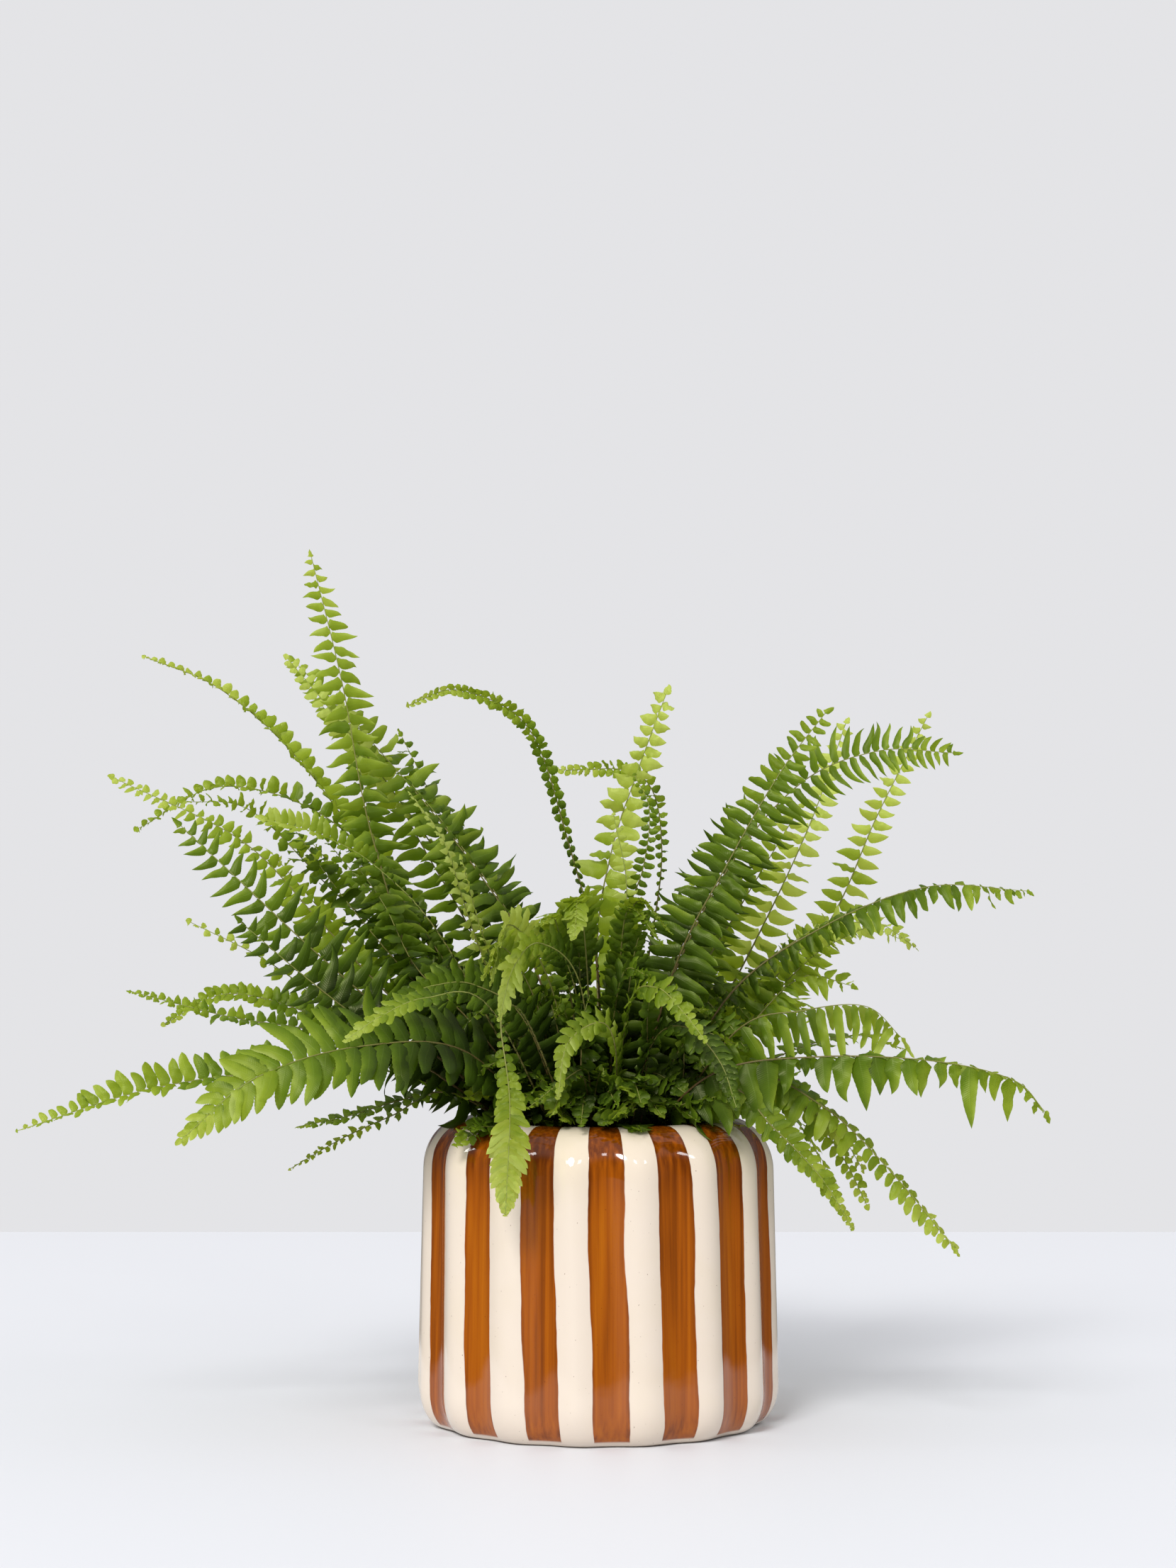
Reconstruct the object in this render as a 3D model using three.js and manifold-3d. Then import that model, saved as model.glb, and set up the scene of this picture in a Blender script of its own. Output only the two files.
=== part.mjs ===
// A Boston fern in a lobed ceramic pot: the glazed pot, the soil that fills it, and every frond as
// one solid, a stalk and rib with leaflets cut to the rib, standing in a plain hole in the soil.
// Millimetres, +Z up, +X to the right, -Y toward the viewer, origin at the centre of the pot's base.
import * as THREE from "three";
import { mergeVertices } from "three/addons/utils/BufferGeometryUtils.js";
import Module from "manifold-3d";

const wasm = await Module();
wasm.setup();

// The pot: a drum with sixteen soft lobes that lean a little to the right on their way down.
const POT_HEIGHT = 143;
const POT_RADIUS = 86; // over the lobes, where the drum is widest
const POT_TOP_RADIUS = 84; // where the shoulder starts
const FOOT_RADIUS = 74;
const FOOT_ROUND = 19; // height of the rounded bottom corner
const LIP_RADIUS = 63;
const SHOULDER_ROUND = 24; // height of the rounded shoulder
const WALL = 5;
const FLOOR = 6;
const LOBES = 16;
const LOBE_DEPTH = 4.6; // from a crest to the bottom of a groove
const LOBE_SEGMENTS = 6;
const INNER_LOBE_SEGMENTS = 4;
const GROOVE_ANGLE = 3.8; // degrees from the front, of the groove nearest to it at mid-height
const LOBE_LEAN = 2.5; // degrees over the whole height
const FOOT_STEPS = 3;
const SHOULDER_STEPS = 4;
const THROAT_DEPTH = 6; // height of the straight neck inside the lip

// The soil, heaped toward the plant's crowns.
const SOIL_TOP = 139;
const SOIL_TOP_RADIUS = 40;
const SOIL_EDGE = 131;
const FIT_GAP = 0.3;
const HOLE_SIDES = 6;
const HOLE_RADIUS = 2.1;
const HOLE_EXTRA = 1; // below the end of the stalk
const HOLE_LENGTH = 30;
const ROOT_DEPTH = 8;

// The fronds.
const STALK_WIDTH = 2.2;
const STALK_THICKNESS = 1.7;
const RIB_TIP_SIZE = 0.9;
const LEAFLET_THICKNESS = 0.7;
const PITCH_RANGE = [10, 16]; // spacing of the leaflets along the rib
const PITCH_BASE = 5;
const PITCH_SHARE = 0.72; // and this share of the longest leaflet
const FEWEST_PAIRS = 5;
const BARE_STALK = 26; // longest stretch of stalk without leaflets
const BARE_SHARE = 0.2; // and at most this share of a short frond
const STALK_STEPS = 2;
const SHORTEST_LEAFLET = 2;
const LEAFLET_LEAN = 0.22; // forward slant of a leaflet, as a share of its length
const LEAFLET_FOLDS = [0, 14, -14, 28, -28, 44, -44, 60, -60]; // degrees out of the frond's plane
const FOLD_COST = 0.004; // share of reach given up for a degree less of fold
const BLUNT_TIP = 0.45; // width of a blunt leaflet's tip as a share of its foot
const CLEARANCE = 0.9; // from the plane half-way between two ribs
const RIB_SAMPLE = 3;
const POT_CLEARANCE = 2.5;
const SEAT_SHARE = 0.74; // draws the stalks' seats together

// A frond's points are given as the eye sees them against an upright plane through the pot's axis:
// [across, height, true depth]. The eye is this far from that plane and this high.
const EYE_DISTANCE = 1500;
const EYE_HEIGHT = 245;

// name, seat [x, y], points, longest leaflet, way the blade faces, outline, and share of yellow.
const FRONDS = [
  ["left_tall", [-18, -2], [[-76, 192, -8], [-107, 275, -12], [-122, 350, -8], [-137, 411, 0]],
    15, [0.45, -0.85, 0.2], "pointed", 0.5],
  ["left_long", [-22, 20], [[-85, 232, 34], [-137, 307, 46], [-178, 346, 50], [-216, 363, 46]],
    9, [0.3, -0.3, 0.9], "pointed", 0.55],
  ["left_broad", [-8, 14], [[-30, 215, 16], [-62, 267, 22], [-104, 318, 26], [-145, 361, 28]],
    22, [0.5, -0.8, 0.3], "pointed", 0.35],
  ["left_broad_rear", [-16, 10], [[-55, 222, 28], [-82, 270, 38], [-105, 310, 42], [-132, 340, 44]],
    16, [0.5, -0.8, 0.3], "pointed", 0.35],
  ["left_slim", [-10, -8], [[-46, 200, -24], [-62, 240, -28], [-73, 274, -28], [-89, 297, -26]],
    9, [0.9, -0.3, 0.3], "pointed", 0.85],
  ["left_pale", [-27, -14], [[-72, 225, -30], [-105, 262, -38], [-133, 278, -40], [-158, 285, -36]],
    10, [0, -0.6, 0.8], "pointed", 0.9],
  ["left_arch", [-28, 10], [[-80, 228, 14], [-125, 283, 18], [-178, 301, 16], [-219, 281, 6]],
    10, [0, -0.45, 0.9], "pointed", 0.6],
  ["left_flat", [-33, 2], [[-78, 208, -2], [-125, 250, -4], [-165, 289, -6], [-197, 294, -10]],
    11, [0.3, -0.6, 0.7], "pointed", 0.5],
  ["left_reach", [-30, -23], [[-98, 200, -20], [-132, 236, -24], [-170, 275, -24], [-231, 305, -16]],
    10, [0.2, -0.8, 0.5], "pointed", 0.65],
  ["left_front", [-33, -8], [[-92, 185, -38], [-137, 224, -50], [-170, 255, -54], [-199, 282, -52]],
    20, [0.1, -0.95, 0.2], "pointed", 0.4],
  ["left_thin", [-41, 1], [[-85, 172, -8], [-126, 196, -12], [-160, 219, -14], [-194, 236, -14]],
    8, [0.2, -0.8, 0.5], "pointed", 0.6],
  ["left_bow", [-36, 16], [[-85, 168, 30], [-130, 190, 38], [-175, 202, 40], [-206, 188, 34]],
    8, [0, -0.7, 0.7], "pointed", 0.5],
  ["left_level", [-42, 8], [[-88, 164, 14], [-130, 183, 16], [-175, 191, 16], [-222, 203, 16]],
    9, [0, -0.5, 0.85], "pointed", 0.45],
  ["left_far", [-42, -10], [[-90, 163, -26], [-150, 165, -34], [-212, 157, -38], [-276, 137, -42]],
    13, [0, -0.65, 0.75], "blunt", 0.6],
  ["left_big", [-28, -32], [[-62, 174, -56], [-113, 177, -80], [-163, 162, -96], [-198, 133, -102]],
    25, [0.1, -0.8, 0.6], "blunt", 0.5],
  ["left_curl", [-16, -28], [[-34, 188, -46], [-58, 206, -60], [-78, 206, -70], [-97, 199, -78]],
    12, [0, -0.7, 0.7], "blunt", 0.4],
  ["left_young", [-22, -38], [[-52, 196, -78], [-82, 200, -98], [-104, 191, -108], [-120, 180, -114]],
    9, [0, -0.6, 0.8], "pointed", 0.85],
  ["left_dry", [-49, -5], [[-72, 154, -6], [-95, 151, -12], [-118, 144, -16], [-142, 139, -18]],
    6, [0, -0.4, 0.9], "pointed", 0.3],
  ["left_droop", [-38, -24], [[-70, 155, -34], [-98, 144, -40], [-122, 133, -43], [-146, 119, -44]],
    5, [0, -0.4, 0.9], "pointed", 0.5],
  ["left_dark", [-20, -9], [[-58, 186, -18], [-86, 214, -22], [-101, 243, -22], [-114, 262, -22]],
    12, [0.6, -0.7, 0.3], "pointed", 0.25],
  ["mid_hook", [2, 6], [[0, 215, 10], [-14, 275, 14], [-33, 329, 12], [-66, 347, 6], [-90, 340, 2]],
    8, [-0.2, -0.5, 0.8], "pointed", 0.3],
  ["mid_pale", [6, 26], [[0, 222, 40], [7, 270, 46], [19, 307, 46], [33, 345, 42]],
    14, [0, -0.95, 0.2], "pointed", 0.9],
  ["mid_hook_rear", [14, 30], [[24, 215, 56], [31, 272, 64], [21, 306, 64], [-18, 309, 58]],
    9, [0.2, -0.8, 0.3], "pointed", 0.35],
  ["mid_front", [-2, -6], [[-5, 215, -20], [-9, 247, -42], [-11, 229, -66]],
    9, [0, -0.6, 0.8], "blunt", 0.7],
  ["mid_front_right", [8, -6], [[12, 215, -18], [19, 246, -36], [35, 231, -54]],
    9, [0.1, -0.6, 0.8], "pointed", 0.5],
  ["mid_facing", [-8, -18], [[-22, 205, -34], [-42, 235, -58], [-51, 207, -78]],
    11, [-0.1, -0.8, 0.6], "blunt", 0.75],
  ["mid_drop", [-2, -24], [[-8, 200, -48], [-25, 220, -76], [-40, 210, -92], [-47, 192, -100]],
    12, [-0.2, -0.8, 0.6], "blunt", 0.85],
  ["front_hang", [-12, -42], [[-34, 190, -72], [-46, 190, -92], [-42, 150, -102], [-44, 97, -104]],
    11, [0, -1, 0.2], "blunt", 0.8],
  ["front_crook", [6, -42], [[9, 168, -54], [3, 188, -64], [-14, 179, -76], [-19, 153, -84]],
    8, [-0.3, -0.8, 0.5], "blunt", 0.65],
  ["front_small", [-2, -42], [[-7, 163, -58], [-18, 159, -70], [-33, 148, -82]],
    5, [0, -0.7, 0.7], "pointed", 0.35],
  ["front_right", [9, -25], [[15, 196, -50], [28, 205, -68], [41, 193, -82], [51, 180, -90]],
    9, [0.2, -0.7, 0.7], "pointed", 0.75],
  ["front_old", [16, -30], [[26, 178, -50], [42, 186, -64], [58, 170, -78], [66, 148, -90]],
    11, [0.2, -0.7, 0.6], "pointed", 0.15],
  ["right_arch", [14, 2], [[34, 205, 2], [64, 264, 0], [98, 303, -4], [135, 318, -6], [170, 317, -4]],
    15, [-0.2, -0.95, 0.3], "pointed", 0.35],
  ["right_upright", [18, -10], [[36, 212, -28], [61, 262, -34], [87, 307, -36], [109, 336, -32]],
    18, [-0.1, -0.98, 0.1], "pointed", 0.3],
  ["right_slim", [22, 8], [[46, 205, 18], [68, 243, 22], [97, 291, 24]],
    13, [-0.1, -0.95, 0.2], "pointed", 0.6],
  ["right_pale", [24, 16], [[58, 195, 34], [82, 240, 42], [103, 286, 46], [119, 331, 46]],
    14, [-0.1, -0.95, 0.2], "pointed", 0.85],
  ["right_rear", [30, 22], [[75, 187, 48], [112, 238, 60], [134, 287, 64], [158, 334, 62]],
    13, [0, -0.98, 0.1], "pointed", 0.8],
  ["right_reach", [32, -4], [[62, 200, -8], [108, 234, -10], [158, 253, -10], [205, 251, -8]],
    14, [-0.1, -0.8, 0.5], "pointed", 0.35],
  ["right_young", [34, 8], [[70, 192, 18], [105, 229, 24], [132, 236, 24], [152, 224, 22]],
    8, [0, -0.6, 0.8], "pointed", 0.8],
  ["right_fringe", [36, -14], [[66, 184, -28], [98, 194, -34], [128, 196, -38], [145, 181, -38]],
    19, [0, -0.95, 0.3], "blunt", 0.45],
  ["right_far", [24, -34], [[55, 164, -54], [105, 172, -62], [160, 170, -64], [198, 161, -64],
    [213, 146, -62]], 18, [0, -0.95, 0.3], "blunt", 0.4],
  ["right_droop", [36, -24], [[68, 164, -42], [108, 148, -50], [140, 117, -54], [169, 82, -56]],
    13, [0, -0.9, 0.4], "pointed", 0.45],
  ["right_low", [44, -11], [[72, 160, -18], [100, 146, -22], [117, 124, -24], [128, 102, -26]],
    12, [0, -0.8, 0.5], "pointed", 0.45],
  ["right_lowest", [33, -38], [[60, 158, -56], [84, 138, -66], [106, 115, -70], [121, 91, -70]],
    9, [0.1, -0.9, 0.4], "pointed", 0.7],
  ["right_short", [40, 1], [[74, 188, 6], [98, 210, 8], [121, 206, 8]],
    13, [0, -0.8, 0.5], "pointed", 0.5],
  ["rear_right", [36, 16], [[78, 168, 52], [125, 185, 78], [165, 180, 96]],
    14, [-0.3, -0.3, 0.9], "pointed", 0.45],
  ["rear_right_reach", [30, 30], [[58, 184, 70], [88, 200, 120], [108, 185, 160]],
    15, [-0.2, -0.4, 0.9], "pointed", 0.45],
  ["rear_right_arch", [22, 36], [[36, 198, 76], [52, 225, 128], [60, 205, 176]],
    15, [-0.1, -0.5, 0.9], "pointed", 0.5],
  ["rear_middle", [8, 40], [[10, 188, 84], [14, 205, 140], [16, 175, 190]],
    16, [0, -0.4, 0.9], "pointed", 0.45],
  ["rear_upright", [-2, 32], [[-10, 205, 74], [-18, 240, 112], [-24, 228, 152]],
    14, [0, -0.6, 0.8], "pointed", 0.55],
  ["rear_left_reach", [-12, 38], [[-30, 186, 80], [-46, 200, 130], [-56, 170, 176]],
    15, [0.1, -0.4, 0.9], "pointed", 0.45],
  ["rear_left_arch", [-22, 32], [[-55, 190, 74], [-85, 205, 112], [-108, 190, 146]],
    15, [0.2, -0.4, 0.9], "pointed", 0.5],
  ["rear_left", [-34, 26], [[-72, 171, 56], [-118, 172, 88], [-150, 152, 108]],
    14, [0.2, -0.4, 0.9], "pointed", 0.45],
  ["rear_right_droop", [40, 26], [[62, 165, 60], [92, 145, 84], [114, 112, 100]],
    12, [-0.2, -0.4, 0.9], "pointed", 0.45],
  ["rear_droop", [-6, 46], [[-18, 162, 76], [-26, 152, 104], [-32, 118, 126]],
    12, [0, -0.4, 0.9], "pointed", 0.45],
];

// Materials
function material(color, roughness, name) {
  return new THREE.MeshStandardMaterial({ color, roughness, metalness: 0, name });
}
const glaze = material(0xd9b98a, 0.15, "glaze");
const peat = material(0x3b2a1e, 0.9, "peat");
const oldLeaf = new THREE.Color(0x35611b);
const youngLeaf = new THREE.Color(0xa5c63a);

// Solids and meshes
function toSolid(geometry) {
  const bare = geometry.clone();
  bare.deleteAttribute("normal");
  bare.deleteAttribute("uv");
  const merged = mergeVertices(bare, 1e-4);
  return new wasm.Manifold(new wasm.Mesh({
    numProp: 3,
    vertProperties: new Float32Array(merged.attributes.position.array),
    triVerts: new Uint32Array(merged.index.array),
  }));
}

function toGeometry(solid) {
  const mesh = solid.getMesh();
  return indexedGeometry(Array.from(mesh.vertProperties), Array.from(mesh.triVerts));
}

function indexedGeometry(positions, indices) {
  const geometry = new THREE.BufferGeometry();
  geometry.setAttribute("position", new THREE.Float32BufferAttribute(positions, 3));
  geometry.setIndex(indices);
  geometry.computeVertexNormals();
  return geometry;
}

const object = new THREE.Group();
object.name = "potted_boston_fern";

function addMesh(name, geometry, look) {
  const mesh = new THREE.Mesh(geometry, look);
  mesh.name = name;
  object.add(mesh);
}

// Pot and soil: profiles are lists of [radius, height], turned into closed lobed solids.
function corner(centre, radii, from, to, steps) {
  return Array.from({ length: steps + 1 }, (_, i) => {
    const angle = THREE.MathUtils.degToRad(THREE.MathUtils.lerp(from, to, i / steps));
    return [centre[0] + radii[0] * Math.cos(angle), centre[1] + radii[1] * Math.sin(angle)];
  });
}

function lobeStrength(height) {
  const foot = THREE.MathUtils.smoothstep(height, -FOOT_ROUND, FOOT_ROUND);
  const lip = 1 - THREE.MathUtils.smoothstep(height, POT_HEIGHT - SHOULDER_ROUND, POT_HEIGHT + 4);
  return foot * lip;
}

function lobed(radius, height, angle) {
  const lean = (LOBE_LEAN * (POT_HEIGHT / 2 - height)) / POT_HEIGHT;
  const groove = THREE.MathUtils.degToRad(GROOVE_ANGLE + lean);
  const wave = (1 + Math.cos(LOBES * (angle - groove))) / 2;
  const reach = radius - LOBE_DEPTH * lobeStrength(height) * wave;
  return [reach * Math.sin(angle), -reach * Math.cos(angle), height];
}

function lobedSolid(profile, segments) {
  const positions = [0, 0, profile[0][1]];
  for (const [radius, height] of profile) {
    for (let i = 0; i < segments; i += 1) {
      positions.push(...lobed(radius, height, (2 * Math.PI * i) / segments));
    }
  }
  positions.push(0, 0, profile.at(-1)[1]);
  const last = positions.length / 3 - 1;
  const indices = [];
  for (let i = 0; i < segments; i += 1) {
    const next = (i + 1) % segments;
    indices.push(0, 1 + next, 1 + i);
    for (let ring = 0; ring < profile.length - 1; ring += 1) {
      const low = 1 + ring * segments;
      const high = low + segments;
      indices.push(low + i, low + next, high + next, low + i, high + next, high + i);
    }
    indices.push(last, last - segments + i, last - segments + next);
  }
  return toSolid(indexedGeometry(positions, indices));
}

function outerProfile() {
  const footWidth = POT_RADIUS - FOOT_RADIUS;
  const shoulderWidth = POT_TOP_RADIUS - LIP_RADIUS;
  const shoulderStart = POT_HEIGHT - SHOULDER_ROUND;
  return [
    ...corner([FOOT_RADIUS, FOOT_ROUND], [footWidth, FOOT_ROUND], -90, 0, FOOT_STEPS),
    ...corner([LIP_RADIUS, shoulderStart], [shoulderWidth, SHOULDER_ROUND], 0, 90, SHOULDER_STEPS),
  ];
}

function cavityProfile(gap, top) {
  const radius = POT_TOP_RADIUS - WALL - gap;
  const floor = FLOOR + gap;
  return [
    [FOOT_RADIUS - WALL - gap, floor],
    [radius, FOOT_ROUND + floor],
    [radius, POT_HEIGHT - SHOULDER_ROUND - gap],
    [LIP_RADIUS - WALL - gap, top],
  ];
}

function pot() {
  const body = lobedSolid(outerProfile(), LOBES * LOBE_SEGMENTS);
  const throat = [LIP_RADIUS - WALL, POT_HEIGHT + 1];
  const profile = [...cavityProfile(0, POT_HEIGHT - THROAT_DEPTH), throat];
  const cavity = lobedSolid(profile, LOBES * INNER_LOBE_SEGMENTS);
  addMesh("pot", toGeometry(body.subtract(cavity)), glaze);
}

function soil(ribs) {
  const profile = [...cavityProfile(FIT_GAP, SOIL_EDGE), [SOIL_TOP_RADIUS, SOIL_TOP]];
  let body = lobedSolid(profile, LOBES * INNER_LOBE_SEGMENTS);
  for (const rib of ribs) {
    body = body.subtract(stalkHole(rib));
  }
  addMesh("soil", toGeometry(body), peat);
}

function stalkHole(rib) {
  const along = rib.stations[1].point.clone().sub(rib.stations[0].point).normalize();
  const hole = new THREE.CylinderGeometry(HOLE_RADIUS, HOLE_RADIUS, HOLE_LENGTH, HOLE_SIDES);
  hole.translate(0, HOLE_LENGTH / 2 - HOLE_EXTRA, 0);
  hole.applyQuaternion(new THREE.Quaternion().setFromUnitVectors(new THREE.Vector3(0, 1, 0), along));
  hole.translate(...rib.stations[0].point);
  return toSolid(hole);
}

// The radius of the pot and of the foliage's bed at a height, for what has to stay clear of them.
function potReach(height) {
  const shoulderStart = POT_HEIGHT - SHOULDER_ROUND;
  if (height <= shoulderStart) {
    return POT_RADIUS;
  }
  const rise = Math.min((height - shoulderStart) / SHOULDER_ROUND, 1);
  return LIP_RADIUS + (POT_TOP_RADIUS - LIP_RADIUS) * Math.sqrt(1 - rise * rise);
}

function clearOfPot(point) {
  if (point.z > POT_HEIGHT + POT_CLEARANCE) {
    return true;
  }
  return Math.hypot(point.x, point.y) > potReach(point.z - POT_CLEARANCE) + POT_CLEARANCE;
}

// Ribs: a smooth curve from the root through the frond's points, with a frame at every station.
function truePoint([across, height, depth]) {
  const scale = (EYE_DISTANCE + depth) / EYE_DISTANCE;
  return new THREE.Vector3(across * scale, depth, EYE_HEIGHT + (height - EYE_HEIGHT) * scale);
}

function makeRib([name, seat, points, longest, face, outline, yellow]) {
  const [x, y] = seat.map((value) => value * SEAT_SHARE);
  const root = new THREE.Vector3(x, y, SOIL_TOP - ROOT_DEPTH);
  const curve = new THREE.CatmullRomCurve3([root, ...points.map(truePoint)], false, "catmullrom");
  curve.arcLengthDivisions = 400;
  const length = curve.getLength();
  const bare = Math.min(BARE_STALK, BARE_SHARE * length);
  const pitch = THREE.MathUtils.clamp(PITCH_BASE + PITCH_SHARE * longest, ...PITCH_RANGE);
  const pairs = Math.max(FEWEST_PAIRS, Math.round((length - bare) / pitch));
  const places = [];
  for (let i = 0; i < STALK_STEPS; i += 1) {
    places.push((bare * i) / STALK_STEPS);
  }
  for (let i = 0; i <= pairs; i += 1) {
    places.push(bare + ((length - bare) * i) / (pairs + 0.6));
  }
  const stations = places.map((place) => ({
    place,
    point: curve.getPointAt(place / length),
    tangent: curve.getTangentAt(place / length),
  }));
  const middle = Math.floor(stations.length * 0.6);
  carryNormal(stations, middle, -1, new THREE.Vector3(...face));
  carryNormal(stations, middle, 1, new THREE.Vector3(...face));
  const samples = curve.getSpacedPoints(Math.ceil(length / RIB_SAMPLE));
  return { name, curve, length, bare, pitch, longest, outline, yellow, stations, samples };
}

// The blade's normal is carried along the rib without twisting it.
function carryNormal(stations, start, step, normal) {
  for (let i = start; i >= 0 && i < stations.length; i += step) {
    const station = stations[i];
    normal.addScaledVector(station.tangent, -normal.dot(station.tangent)).normalize();
    station.normal = normal.clone();
    station.side = new THREE.Vector3().crossVectors(station.tangent, station.normal);
  }
}

// Share of the longest leaflet at a place along the blade, from 0 at its foot to 1 at its tip.
function outlineShare(outline, place) {
  const foot = THREE.MathUtils.smoothstep(place, -0.35, 0.25);
  const tip = outline === "blunt" ? 1 - 0.6 * place ** 6 : 1 - 0.75 * place ** 1.8;
  return foot * tip;
}

// How far a leaflet can go before it passes the plane half-way to any rib that is not its own.
function reachOf(rib, ribs, foot, direction, place, wanted) {
  let reach = wanted;
  for (const other of ribs) {
    const spacing = other.length / (other.samples.length - 1);
    for (let i = 0; i < other.samples.length; i += 1) {
      const toOther = other.samples[i].clone().sub(foot);
      const distance = toOther.length();
      const near = other === rib && Math.abs(i * spacing - place) < rib.pitch;
      const forward = toOther.dot(direction) / distance;
      if (!near && forward > 0 && distance < 3 * wanted) {
        reach = Math.min(reach, (distance / 2 - CLEARANCE) / forward);
      }
    }
  }
  while (reach > SHORTEST_LEAFLET && !clearOfPot(foot.clone().addScaledVector(direction, reach))) {
    reach -= 1;
  }
  return reach;
}

// A leaflet's foot, its direction and its length, folded the way that leaves it longest.
function leafletPlan(rib, ribs, index, hand) {
  const here = rib.stations[index];
  const next = rib.stations[index + 1];
  const place = (here.place + next.place) / 2;
  const along = (place - rib.bare) / (rib.length - rib.bare);
  const wanted = rib.longest * outlineShare(rib.outline, along);
  const foot = here.point.clone().add(next.point).multiplyScalar(0.5);
  const tangent = here.tangent.clone().add(next.tangent).normalize();
  const lean = LEAFLET_LEAN + 0.5 * along ** 3;
  let best = { length: 0, score: 0 };
  for (const fold of LEAFLET_FOLDS) {
    const angle = THREE.MathUtils.degToRad(fold);
    const across = here.side.clone().multiplyScalar(hand * Math.cos(angle));
    across.addScaledVector(here.normal, Math.sin(angle));
    const direction = across.clone().addScaledVector(tangent, lean).normalize();
    const length = reachOf(rib, ribs, foot, direction, place, wanted);
    const score = length * (1 - FOLD_COST * Math.abs(fold));
    if (score > best.score + 0.2) {
      const normal = here.normal.clone().multiplyScalar(Math.cos(angle));
      normal.addScaledVector(here.side, -hand * Math.sin(angle));
      best = { foot, direction, tangent, normal, length, score };
    }
  }
  return best;
}

// A frond: corners in pairs on its two faces, plates between them and walls round the outline.
function frond(rib, ribs) {
  const positions = [];
  const indices = [];
  const addCorner = (point, normal, thickness) => {
    const half = normal.clone().multiplyScalar(thickness / 2);
    positions.push(...point.clone().add(half), ...point.clone().sub(half));
    return positions.length / 3 - 2;
  };
  const plate = (...corners) => {
    for (let i = 1; i < corners.length - 1; i += 1) {
      const [a, b, c] = [corners[0], corners[i], corners[i + 1]];
      indices.push(a, b, c, a + 1, c + 1, b + 1);
    }
  };
  const wall = (a, b) => indices.push(a, a + 1, b + 1, a, b + 1, b);

  const edges = rib.stations.map(({ point, normal, side, place }) => {
    const along = place / rib.length;
    const width = THREE.MathUtils.lerp(STALK_WIDTH, RIB_TIP_SIZE, along);
    const thickness = THREE.MathUtils.lerp(STALK_THICKNESS, RIB_TIP_SIZE, along);
    const left = point.clone().addScaledVector(side, -width / 2);
    const right = point.clone().addScaledVector(side, width / 2);
    return [addCorner(left, normal, thickness), addCorner(right, normal, thickness)];
  });
  wall(edges[0][0], edges[0][1]);
  for (let i = 0; i < edges.length - 1; i += 1) {
    const [left, right] = edges[i];
    const [nextLeft, nextRight] = edges[i + 1];
    plate(left, right, nextRight, nextLeft);
    for (const [hand, back, fore] of [[1, right, nextRight], [-1, nextLeft, left]]) {
      const plan = i < STALK_STEPS ? { length: 0 } : leafletPlan(rib, ribs, i, hand);
      if (plan.length < SHORTEST_LEAFLET) {
        wall(back, fore);
        continue;
      }
      const width = rib.outline === "blunt" ? BLUNT_TIP * rib.pitch : 0;
      const shifts = width > 0 ? [-hand * width / 2, hand * width / 2] : [0];
      const tip = plan.foot.clone().addScaledVector(plan.direction, plan.length);
      const tips = shifts.map((shift) => {
        const point = tip.clone().addScaledVector(plan.tangent, shift);
        return addCorner(point, plan.normal, LEAFLET_THICKNESS);
      });
      const rim = [back, ...tips, fore];
      plate(...rim);
      rim.slice(1).forEach((corner, k) => wall(rim[k], corner));
    }
  }
  const [left, right] = edges.at(-1);
  const end = rib.stations.at(-1);
  const apex = addCorner(rib.curve.getPointAt(1), end.normal, LEAFLET_THICKNESS);
  plate(left, right, apex);
  wall(right, apex);
  wall(apex, left);
  const color = oldLeaf.clone().lerp(youngLeaf, rib.yellow);
  addMesh(`frond_${rib.name}`, indexedGeometry(positions, indices), material(color, 0.5, "leaf"));
}

const ribs = FRONDS.map(makeRib);
pot();
soil(ribs);
for (const rib of ribs) {
  frond(rib, ribs);
}

export default object;
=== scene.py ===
# %% [markdown]
# # A potted Boston fern
# This lesson dresses a construction model of a Boston fern in a lobed, striped ceramic pot. The
# model arrives as a fixed frame: every node is already in place, in metres. We never move a node.
# We either give it a finish or let a finer piece stand for it.

# %% Load the frame
import math
from collections import namedtuple

import bpy
import numpy as np
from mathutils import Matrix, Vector


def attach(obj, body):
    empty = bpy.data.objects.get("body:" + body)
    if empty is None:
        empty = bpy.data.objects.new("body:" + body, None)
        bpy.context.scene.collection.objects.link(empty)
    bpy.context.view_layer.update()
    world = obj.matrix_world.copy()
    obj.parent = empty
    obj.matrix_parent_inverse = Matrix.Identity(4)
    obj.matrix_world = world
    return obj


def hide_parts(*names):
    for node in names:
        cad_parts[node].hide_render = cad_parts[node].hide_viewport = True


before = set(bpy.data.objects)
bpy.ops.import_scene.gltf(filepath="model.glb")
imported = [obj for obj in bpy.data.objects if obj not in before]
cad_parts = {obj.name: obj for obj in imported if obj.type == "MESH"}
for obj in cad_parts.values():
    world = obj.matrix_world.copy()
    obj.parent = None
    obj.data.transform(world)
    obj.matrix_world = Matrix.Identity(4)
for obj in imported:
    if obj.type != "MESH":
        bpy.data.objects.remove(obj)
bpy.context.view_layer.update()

# %% [markdown]
# ## The camera
# A product photograph of this size is taken from a metre or two away with a longish lens, a little
# above the pot's rim. We could aim the camera with a constraint, but two plain angles are easier to
# read and keep the plant upright. The lens comes from how many pixels of the frame a metre takes at
# that distance. The long side of the frame is its height, so the lens is worked out from that.

# %% Place the camera
MM = 0.001
FRAME_HEIGHT = 2212  # pixels
PIXELS_PER_MM = 2.953  # at the pot's axis
EYE_DISTANCE = 1500  # mm, from the eye to the pot's axis
EYE_HEIGHT = 245
EYE_ACROSS = -4.4
TILT = 2.18  # degrees above the horizon
SENSOR = 36  # mm


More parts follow.
